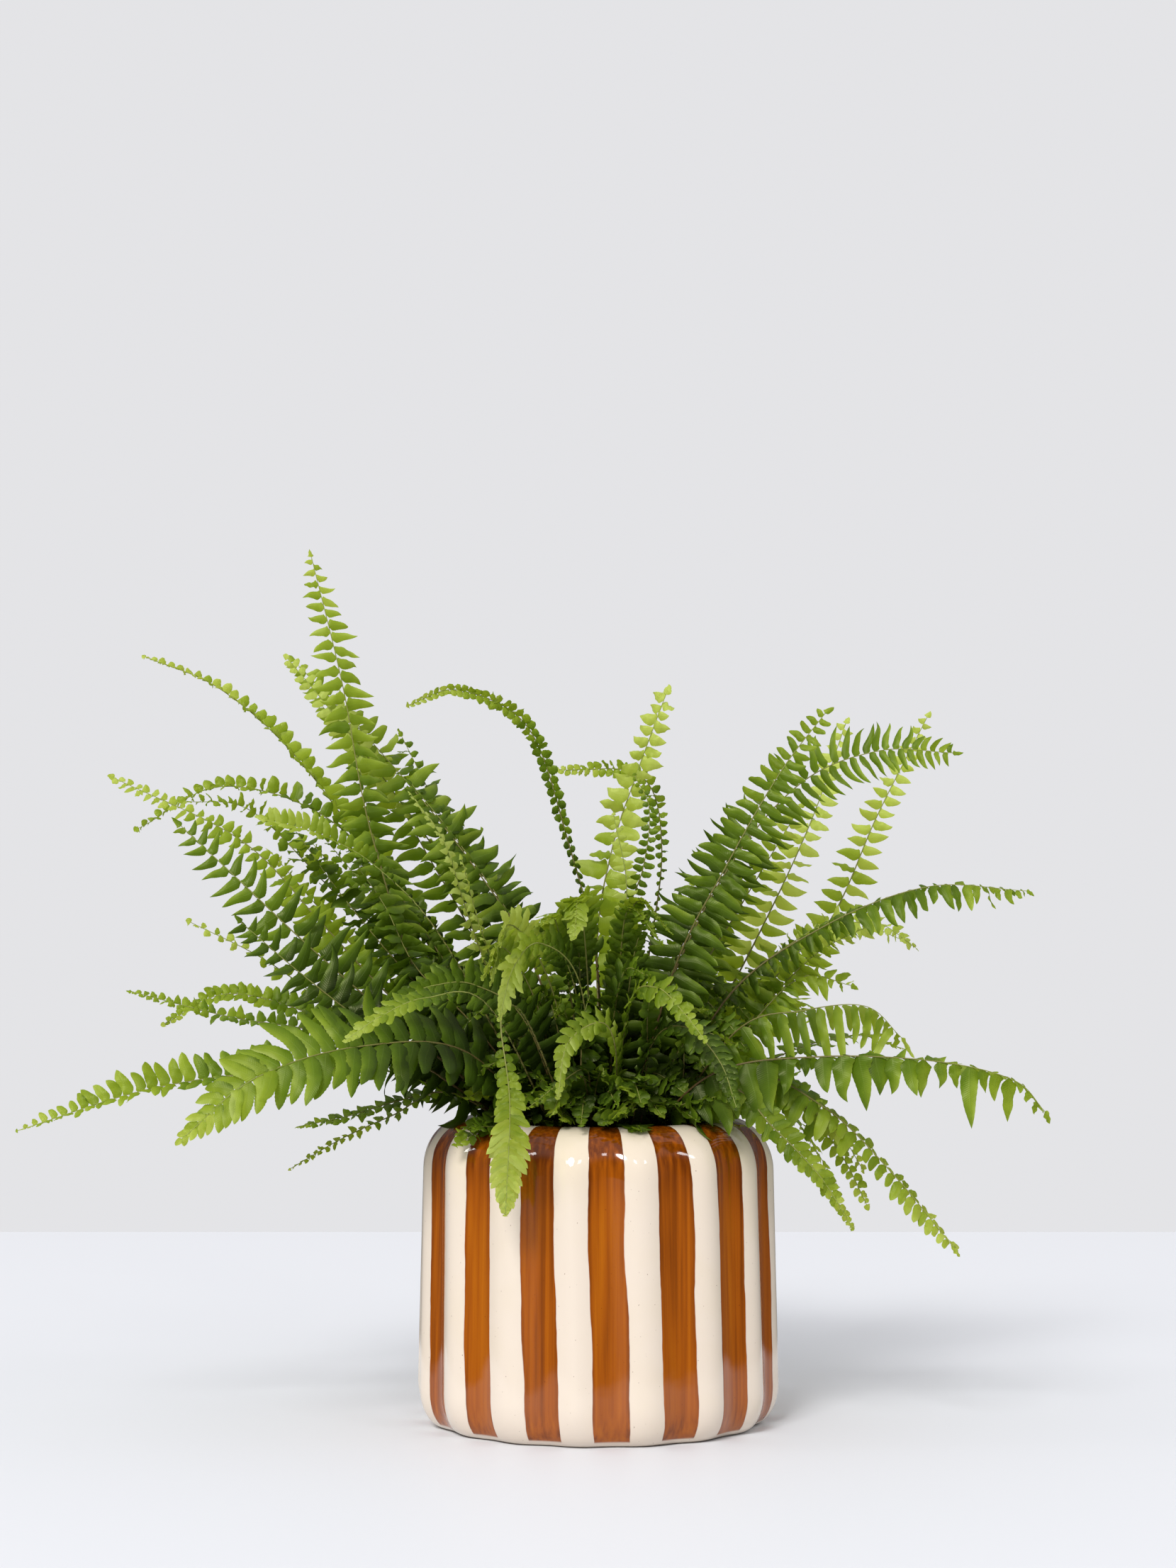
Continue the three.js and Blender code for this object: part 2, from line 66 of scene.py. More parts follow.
def add_object(name, data):
    """An object that shows a mesh, lamp or camera in the scene."""
    made = bpy.data.objects.new(name, data)
    bpy.context.scene.collection.objects.link(made)
    return made


camera_data = bpy.data.cameras.new("camera")
camera_data.sensor_width = SENSOR
camera_data.lens = PIXELS_PER_MM * EYE_DISTANCE / FRAME_HEIGHT * SENSOR
camera = add_object("camera", camera_data)
camera.location = (EYE_ACROSS * MM, -EYE_DISTANCE * MM, EYE_HEIGHT * MM)
camera.rotation_euler = (math.radians(90 + TILT), 0, 0)
bpy.context.scene.camera = camera
print("lens", round(camera_data.lens, 1), "mm")

# %% [markdown]
# ## Shader maths as expressions
# A finish is a small network of nodes. Wiring it by hand hides the idea, so one class wraps a
# node's output and turns `1 - mask` or `streak * 0.3` into the Math nodes that say the same.
# Numbers alone stay numbers. Colours go through Mix nodes, because a Math node would turn a colour
# grey. Every other node comes from the one method `node`, and the usual ones have a short name.

# %% A wrapped socket and a finish
MIX_FIRST, MIX_SECOND = 6, 7  # the inputs for colours of a Mix node, which has others for numbers
MIX_COLOR = 2  # its output for a colour


class Value:
    """A node's output. Arithmetic on it adds Math nodes to its finish."""

    def __init__(self, finish, socket):
        self.finish = finish
        self.socket = socket

    def math(self, operation, *others, flip=False):
        terms = [self, *others][::-1] if flip else [self, *others]
        return self.finish.node("Math", {"operation": operation}, dict(enumerate(terms)))

    def __add__(self, other):
        return self.math("ADD", other)

    def __sub__(self, other):
        return self.math("SUBTRACT", other)

    def __mul__(self, other):
        return self.math("MULTIPLY", other)

    def __rsub__(self, other):
        return self.math("SUBTRACT", other, flip=True)

    __radd__ = __add__
    __rmul__ = __mul__

    def rise(self, low, high):
        """0 below low, 1 above high, and a smooth step between."""
        sockets = {"Value": self, "From Min": low, "From Max": high}
        return self.finish.node("MapRange", {"interpolation_type": "SMOOTHSTEP"}, sockets)


class Finish:
    """A material, or the light of a world, being made."""

    def __init__(self, name, owner=None):
        self.owner = owner or bpy.data.materials.new(name)
        self.owner.use_nodes = True
        self.tree = self.owner.node_tree
        self.tree.nodes.clear()

    def node(self, kind, settings=None, sockets=None, output=0):
        """One shader node, with its settings, its sockets' values and the output to go on from."""
        made = self.tree.nodes.new("ShaderNode" + kind)
        for name, value in (settings or {}).items():
            if name == "stops":
                self.set_stops(made.color_ramp.elements, value)
            else:
                setattr(made, name, value)
        for name, value in (sockets or {}).items():
            if isinstance(value, Value):
                self.tree.links.new(value.socket, made.inputs[name])
            else:
                made.inputs[name].default_value = value
        return Value(self, made.outputs[output])

    def set_stops(self, elements, stops):
        """Sets a ramp's stops, each a place from 0 to 1 and a colour."""
        while len(elements) < len(stops):
            elements.new(1)
        for element, (place, color) in zip(elements, stops):
            element.position = place
            element.color = (*color, 1)

    def place(self):
        """Where a point lies on its own piece, in metres."""
        return self.node("TexCoord", output="Object")

    def split(self, vector):
        """The three numbers of a place."""
        parts = self.node("SeparateXYZ", {}, {0: vector})
        return [Value(self, socket) for socket in parts.socket.node.outputs]

    def map_values(self, name):
        """The two numbers that a named map holds at a point."""
        return self.split(self.node("UVMap", {"uv_map": name}))[:2]

    def ramp(self, stops, share):
        """The colour at a share of the way through the stops."""
        return self.node("ValToRGB", {"stops": stops}, {0: share})

    def mix(self, factor, first, second):
        """Two colours or wrapped colours mixed by a factor."""
        ends = {MIX_FIRST: first, MIX_SECOND: second}
        ends = {k: v if isinstance(v, Value) else (*v, 1) for k, v in ends.items()}
        return self.node("Mix", {"data_type": "RGBA"}, {0: factor, **ends}, output=MIX_COLOR)

    def noise(self, place, scale, detail, stretch=None):
        """Grey noise about 0.5, with so many cells in a metre and so many finer layers."""
        if stretch:
            place = self.node("VectorMath", {"operation": "MULTIPLY"}, {0: place, 1: stretch})
        return self.node("TexNoise", {}, {"Vector": place, "Scale": scale, "Detail": detail})

    def relief(self, height, strength, distance):
        """A bump in the surface, so many metres deep where the height is 1."""
        return self.node("Bump", {}, {"Strength": strength, "Distance": distance, "Height": height})

    def surface(self, color, roughness, others):
        """The main shader, with its other sockets by their names."""
        sockets = {"Base Color": color, "Roughness": roughness, **others}
        return self.node("BsdfPrincipled", {}, sockets)

    def done(self, shader, kind="Material"):
        end = self.tree.nodes.new("ShaderNodeOutput" + kind)
        self.tree.links.new(shader.socket, end.inputs["Surface"])
        return self.owner


# %% [markdown]
# ## Turning numbers into meshes
# Everything below is made of grids of four-sided faces: the pot is a grid bent round an axis, a
# stalk is a grid rolled into a tube, and a leaflet is a small bent grid. Blender can build a mesh
# from Python lists, but a fern has hundreds of thousands of corners, so we hand over whole arrays.

# %% A piece from arrays
CORNERS = 4  # of a face


def grid_faces(rows, columns, closed=False):
    """Corner numbers of the faces of a grid of points, row by row."""
    across = np.arange(columns if closed else columns - 1)
    beside = (across + 1) % columns
    base = columns * np.arange(rows - 1)[:, None]
    upper = base + columns
    faces = np.stack([base + across, base + beside, upper + beside, upper + across], -1)
    return faces.reshape(-1, CORNERS)


def ring_patch(rings):
    """Points and faces of rings of points, one above the other."""
    return {"points": rings.reshape(-1, 3), "faces": grid_faces(*rings.shape[:2], closed=True)}


def add_piece(name, patches, finishes):
    """One mesh from patches of points, faces, finish number and named maps, riding on the body."""
    mesh = bpy.data.meshes.new(name)
    starts = np.cumsum([0] + [len(patch["points"]) for patch in patches])
    points = np.concatenate([patch["points"] for patch in patches]) * MM
    faces = np.concatenate([patch["faces"] + start for patch, start in zip(patches, starts)])
    numbers = np.concatenate([np.broadcast_to(patch.get("finish", 0), len(patch["faces"]))
                              for patch in patches])
    mesh.vertices.add(len(points))
    mesh.vertices.foreach_set("co", points.astype(np.float32).ravel())
    mesh.loops.add(faces.size)
    mesh.loops.foreach_set("vertex_index", faces.astype(np.int32).ravel())
    mesh.polygons.add(len(faces))
    mesh.polygons.foreach_set("loop_start", np.arange(0, faces.size, CORNERS, dtype=np.int32))
    mesh.polygons.foreach_set("material_index", numbers.astype(np.int32))
    mesh.polygons.foreach_set("use_smooth", np.ones(len(faces), bool))
    for map_name in patches[0].get("maps", {}):
        values = np.concatenate([patch["maps"][map_name] for patch in patches])
        layer = mesh.uv_layers.new(name=map_name)
        layer.data.foreach_set("uv", values[faces.ravel()].astype(np.float32).ravel())
    mesh.update(calc_edges=True)
    for finish in finishes:
        mesh.materials.append(finish)
    made = add_object(name, mesh)
    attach(made, "root")
    return made


def smooth_step(value, low, high):
    """0 below low, 1 above high, and a smooth step between."""
    share = np.clip((value - low) / (high - low), 0, 1)
    return share * share * (3 - 2 * share)


# %% [markdown]
# ## The pot
# The pot is slip-cast stoneware: a drum with sixteen soft lobes that run over the shoulder and die
# out at the foot and the lip. Modelling one lobe and repeating it with an array would leave seams.
# Instead the whole wall is one grid: a profile gives each ring its radius and height, and a cosine
# of the angle pulls the ring in at every groove. The grooves lean a little to the right on their
# way down, as they do on the real pot, which is shaped and painted by hand.

# %% Shape of the pot
POT_HEIGHT = 143  # mm, as are all the sizes below
POT_RADIUS = 86
POT_TOP_RADIUS = 84
FOOT_RADIUS = 74
FOOT_ROUND = 19
LIP_RADIUS = 63
SHOULDER_ROUND = 24
WALL = 5
THROAT_DEPTH = 6
FLOOR = 6
LOBES = 16
LOBE_DEPTH = 3.9
GROOVE_ANGLE = 3.8  # degrees from the front, of the groove nearest to it at mid-height
LOBE_LEAN = 2.5  # degrees to the right, from top to bottom
POT_SIDES = LOBES * 18
LIP_CROWN = 0.9  # how far the lip's round top rises
CENTRE_GAP = 0.02  # where a ring closes in the middle


def lobe_strength(height):
    """1 on the wall, and less over the foot and the shoulder."""
    foot = smooth_step(height, -FOOT_ROUND, FOOT_ROUND)
    return foot * (1 - smooth_step(height, POT_HEIGHT - SHOULDER_ROUND, POT_HEIGHT + 4))


def arc(centre, radii, start, end, steps):
    """Points on an ellipse, from one angle in degrees to another."""
    angles = np.radians(np.linspace(start, end, steps + 1))
    return np.stack([np.cos(angles), np.sin(angles)], -1) * radii + centre


def outer_profile():
    """Radius and height from the middle of the base, up the wall and over the shoulder."""
    shoulder = POT_HEIGHT - SHOULDER_ROUND
    base = [[r, 0.0] for r in (CENTRE_GAP, 24, 40, 56, 68)]
    foot = arc((FOOT_RADIUS, FOOT_ROUND), (POT_RADIUS - FOOT_RADIUS, FOOT_ROUND), -90, 0, 14)
    heights = np.linspace(FOOT_ROUND, shoulder, 18)[1:-1]
    lean = (heights - FOOT_ROUND) / (shoulder - FOOT_ROUND)
    wall = np.stack([POT_RADIUS + (POT_TOP_RADIUS - POT_RADIUS) * lean, heights], -1)
    over = arc((LIP_RADIUS, shoulder), (POT_TOP_RADIUS - LIP_RADIUS, SHOULDER_ROUND), 0, 88, 16)
    return np.concatenate([base, foot, wall, over])


def inner_profile():
    """Round the lip, down the throat and the inside wall to the floor."""
    throat = LIP_RADIUS - WALL
    middle = (LIP_RADIUS + throat) / 2
    lip = arc((middle, POT_HEIGHT - LIP_CROWN), (WALL / 2 - 0.4, LIP_CROWN), 75, 180, 6)
    wall = POT_TOP_RADIUS - WALL
    inside = [[throat, POT_HEIGHT - THROAT_DEPTH], [throat + 8, POT_HEIGHT - 11],
              [wall - 2, POT_HEIGHT - SHOULDER_ROUND], [wall, 90], [wall, 30],
              [FOOT_RADIUS - WALL, FLOOR], [30, FLOOR], [CENTRE_GAP, FLOOR]]
    return np.concatenate([lip, inside])


def lobed(profile):
    """Bends a profile round the axis into rings of lobed points."""
    radius, height = profile[:, :1], profile[:, 1:]
    angle = np.linspace(0, 2 * np.pi, POT_SIDES, endpoint=False)[None]
    groove = np.radians(GROOVE_ANGLE + LOBE_LEAN * (POT_HEIGHT / 2 - height) / POT_HEIGHT)
    pull = (1 + np.cos(LOBES * (angle - groove))) / 2
    share = np.clip(radius / FOOT_RADIUS, 0, 1) ** 4
    reach = radius - LOBE_DEPTH * lobe_strength(height) * pull * share
    return np.stack([reach * np.sin(angle), -reach * np.cos(angle), height + 0 * angle], -1)


pot_rings = lobed(np.concatenate([outer_profile(), inner_profile()]))
print("pot", pot_rings.shape[0], "rings of", POT_SIDES)

# %% [markdown]
# ## The glaze
# The stripes are brushed on in amber-brown over a cream glaze, one in each groove, and the whole
# pot is then fired glossy. An unwrapped image could carry them, but the stripes follow the same
# formula as the lobes, so the finish works out the angle round the pot from the point's own place,
# and the stripe is where the cosine of sixteen times that angle is high. A little noise makes the
# edge waver like a brush's. The brown is thin where the bristles ran: long upright streaks, darker
# at the stripe's edges, where the glaze pools. Over the shoulder the brown is darker and the cream
# warmer, partly because the glaze gathers thicker there and partly as painted shade of the leaves.

# %% Striped glaze
CREAM = (0.745, 0.645, 0.54)
CREAM_WARM = (0.715, 0.61, 0.465)
BROWN = (0.32, 0.075, 0.002)
BROWN_DARK = (0.13, 0.026, 0.001)
AMBER = (0.44, 0.122, 0.003)
BARE_CLAY = (0.55, 0.45, 0.34)
PAINT_SHIFT = -0.4  # degrees from the groove: the brush kept a little to its left
BRUSH_PRESS = 2.4  # how much broader the stripes are on the right, per metre
STRIPE_SPREAD = 0.04  # how much broader than the cream between them, as a cosine
STRIPE_EDGE = 0.045  # half of the edge's softness, as a cosine
PAINT_START = (0.0022, 0.0034)  # metres above the base
# the shoulder's band: thicker glaze and painted shade of the leaves above
SHOULDER_GLAZE_AND_SHADE = (0.095, 0.138)  # metres above the base, where it gathers on the shoulder
POOLED_EDGE = 0.45  # how far in from its edge the glaze pools, as a cosine
BARE_FOOT = (0.0002, 0.0006)  # metres above the base
PINHOLES = (0.765, 0.80)  # how bright the noise is at the edge and in the middle of one


def striped_glaze():
    glaze = Finish("striped_glaze")
    place = glaze.place()
    across, depth, height = glaze.split(place)
    angle = across.math("ARCTAN2", 0 - depth)
    lean = (POT_HEIGHT * MM / 2 - height) * (math.radians(LOBE_LEAN) / (POT_HEIGHT * MM))
    waver = (glaze.noise(place, 22, 1, (1, 1, 0.8)) - 0.5) * 0.045
    waver = waver + (glaze.noise(place, 160, 2, (1, 1, 0.5)) - 0.5) * 0.012
    turn = angle - lean - math.radians(GROOVE_ANGLE + PAINT_SHIFT) + waver
    crest = (turn * LOBES).math("COSINE")
    pressed = crest + across * BRUSH_PRESS + STRIPE_SPREAD
    painted = pressed.rise(-STRIPE_EDGE, STRIPE_EDGE) * height.rise(*PAINT_START)

    # the third number of a stretch below 1 draws the noise out upward, as a brush does
    bristles = glaze.noise(place, 480, 3, (1, 1, 0.012))
    broad = glaze.noise(place, 130, 2, (1, 1, 0.05))
    load = glaze.noise(place, 26, 2, (1, 1, 0.6))
    pooled = 1 - pressed.rise(0.0, POOLED_EDGE)
    # painted shade: darker brown and warmer cream over the shoulder, partly thicker glaze, partly
    # the leaves' shadow
    thick_glaze_and_shade = height.rise(*SHOULDER_GLAZE_AND_SHADE)
    streak = bristles * 0.7 + broad * 0.35 + (load - 0.5) * 0.25 - 0.03
    streak = streak - pooled * 0.12 - thick_glaze_and_shade * 0.2
    brown = glaze.ramp([(0.20, BROWN_DARK), (0.48, BROWN), (0.76, AMBER)], streak)
    warm = glaze.noise(place, 30, 3).rise(0.45, 0.75) * 0.35 + thick_glaze_and_shade * 0.5
    cream = glaze.mix(warm, CREAM, CREAM_WARM)
    color = glaze.mix(painted, cream, brown)
    pinholes = glaze.noise(place, 900, 1).rise(*PINHOLES)
    color = glaze.mix(pinholes * 0.55, color, BROWN_DARK)
    bare = 1 - height.rise(*BARE_FOOT)
    color = glaze.mix(bare, color, BARE_CLAY)

    ripple = glaze.noise(place, 55, 2) * 0.6 + painted * 0.12 + bristles * painted * 0.06
    gloss = {"Specular IOR Level": 0.5, "Normal": glaze.relief(ripple, 0.35, 0.0005)}
    return glaze.done(glaze.surface(color, 0.06 + bare * 0.6, gloss))


pot = add_piece("glazed_pot", [ring_patch(pot_rings)], [striped_glaze()])
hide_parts("pot")
print("pot faces", len(pot.data.polygons))

# %% [markdown]
# ## The soil
# The pot is filled to just under its lip with dark peat, heaped toward the plant's crowns. Hardly
# any of it shows between the stalks, but from above it does. A flat disc would look like paint, so
# the surface is a round grid whose height is broken by three layers of wandering waves, with
# loose crumbs lying on it.

# %% Peat with crumbs
SOIL_TOP = 139
SOIL_TOP_RADIUS = 40
SOIL_EDGE = 131  # height at the throat's wall
FIT_GAP = 0.3  # between the soil and the pot
SOIL_SIDES = 96
SOIL_RINGS = 44
CRUMBS = 700
SOIL_LUMPS = [  # depth in mm, waves a mm in x and y, and how far and how fast they wander
    (0.7, 0.7, 0.66, 2, 0.31, 0.37), (0.45, 1.7, 1.5, 3, 0.9, 0.8), (0.3, 3.4, 3.1, 4, 1.9, 1.7)]
soil_random = np.random.default_rng(3)


def soil_height(x, y):
    """The heaped surface, broken into lumps about 9, 4 and 2 mm wide."""
    fall = smooth_step(np.hypot(x, y), SOIL_TOP_RADIUS - 10, LIP_RADIUS - WALL)
    height = SOIL_TOP - (SOIL_TOP - SOIL_EDGE) * fall - 0.9
    lumps = 0
    for depth, along, across, warp, bend, turn in SOIL_LUMPS:
        waves_x = np.sin(x * along + warp * np.sin(y * bend))
        lumps = lumps + depth * waves_x * np.sin(y * across + warp * np.sin(x * turn))
    return height + lumps


def soil_patch():
    """The hidden underside and wall, and over them the rough surface."""
    angle = np.linspace(0, 2 * np.pi, SOIL_SIDES, endpoint=False)
    base = FLOOR + 0.5
    wall = POT_TOP_RADIUS - WALL - FIT_GAP - LOBE_DEPTH
    hidden = np.array([[CENTRE_GAP, base], [FOOT_RADIUS - WALL - 6, base], [wall, 30], [wall, 112]])
    top = np.linspace(LIP_RADIUS - WALL - FIT_GAP, CENTRE_GAP, SOIL_RINGS)
    radius = np.append(hidden[:, 0], top)[:, None]
    x, y = radius * np.sin(angle), -radius * np.cos(angle)
    height = soil_height(x, y)
    height[:len(hidden)] = hidden[:, 1:]
    return ring_patch(np.stack([x, y, height], -1))


def crumb_patch(count):
    """Loose crumbs: small lumpy cubes with a random turn and size."""
    corners = np.array([[x, y, z] for x in (-1, 1) for y in (-1, 1) for z in (-1, 1)], float)
    sides = np.array([[0, 1, 3, 2], [4, 6, 7, 5], [0, 4, 5, 1],
                      [2, 3, 7, 6], [0, 2, 6, 4], [1, 5, 7, 3]])
    radius = (LIP_RADIUS - WALL - 2) * np.sqrt(soil_random.random(count))
    angle = 2 * np.pi * soil_random.random(count)
    x, y = radius * np.sin(angle), -radius * np.cos(angle)
    centres = np.stack([x, y, soil_height(x, y) + 0.1], -1)
    size = 0.35 + 0.9 * soil_random.random((count, 1, 1)) ** 3
    shape = corners[None] * (0.7 + 0.5 * soil_random.random((count, 8, 3))) * size
    turn = np.linalg.qr(soil_random.normal(size=(count, 3, 3)))[0]
    turn[np.linalg.det(turn) < 0, :, 0] *= -1
    points = centres[:, None] + shape @ turn
    faces = sides + len(corners) * np.arange(count)[:, None, None]
    return {"points": points.reshape(-1, 3), "faces": faces.reshape(-1, CORNERS)}


def peat_finish():
    peat = Finish("moist_peat")
    lumps = peat.noise(peat.place(), 260, 4)
    stops = [(0.3, (0.008, 0.005, 0.003)), (0.55, (0.033, 0.018, 0.009)),
             (0.75, (0.085, 0.048, 0.024))]
    bump = {"Normal": peat.relief(lumps, 0.9, 0.0012)}
    return peat.done(peat.surface(peat.ramp(stops, lumps), 0.95 - lumps * 0.2, bump))


soil = add_piece("peat_soil", [soil_patch(), crumb_patch(CRUMBS)], [peat_finish()])
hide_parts("soil")
print("soil faces", len(soil.data.polygons))

# %% [markdown]
# ## Where every frond goes
# A Boston fern grows long arching fronds from a few crowns in the soil. Each has its own bend, so
# they can't come from one copy: we give each frond a row of points that its rib passes through, as
# one would bend a wire. The points are those of the construction model, so each fine frond
# lies where its plain solid does. Two differ a little: `rear_right` is shorter, and `mid_drop`
# hangs from a few millimetres higher. A point says how far across and how high it looks to the
# eye, and how deep it really lies, so a frond can be moved in depth and still look the same.

# %% Frond table
Frond = namedtuple("Frond", "longest yellow seat facing points")


def read_fronds(rows):
    return {name: Frond(*row) for name, *row in rows}


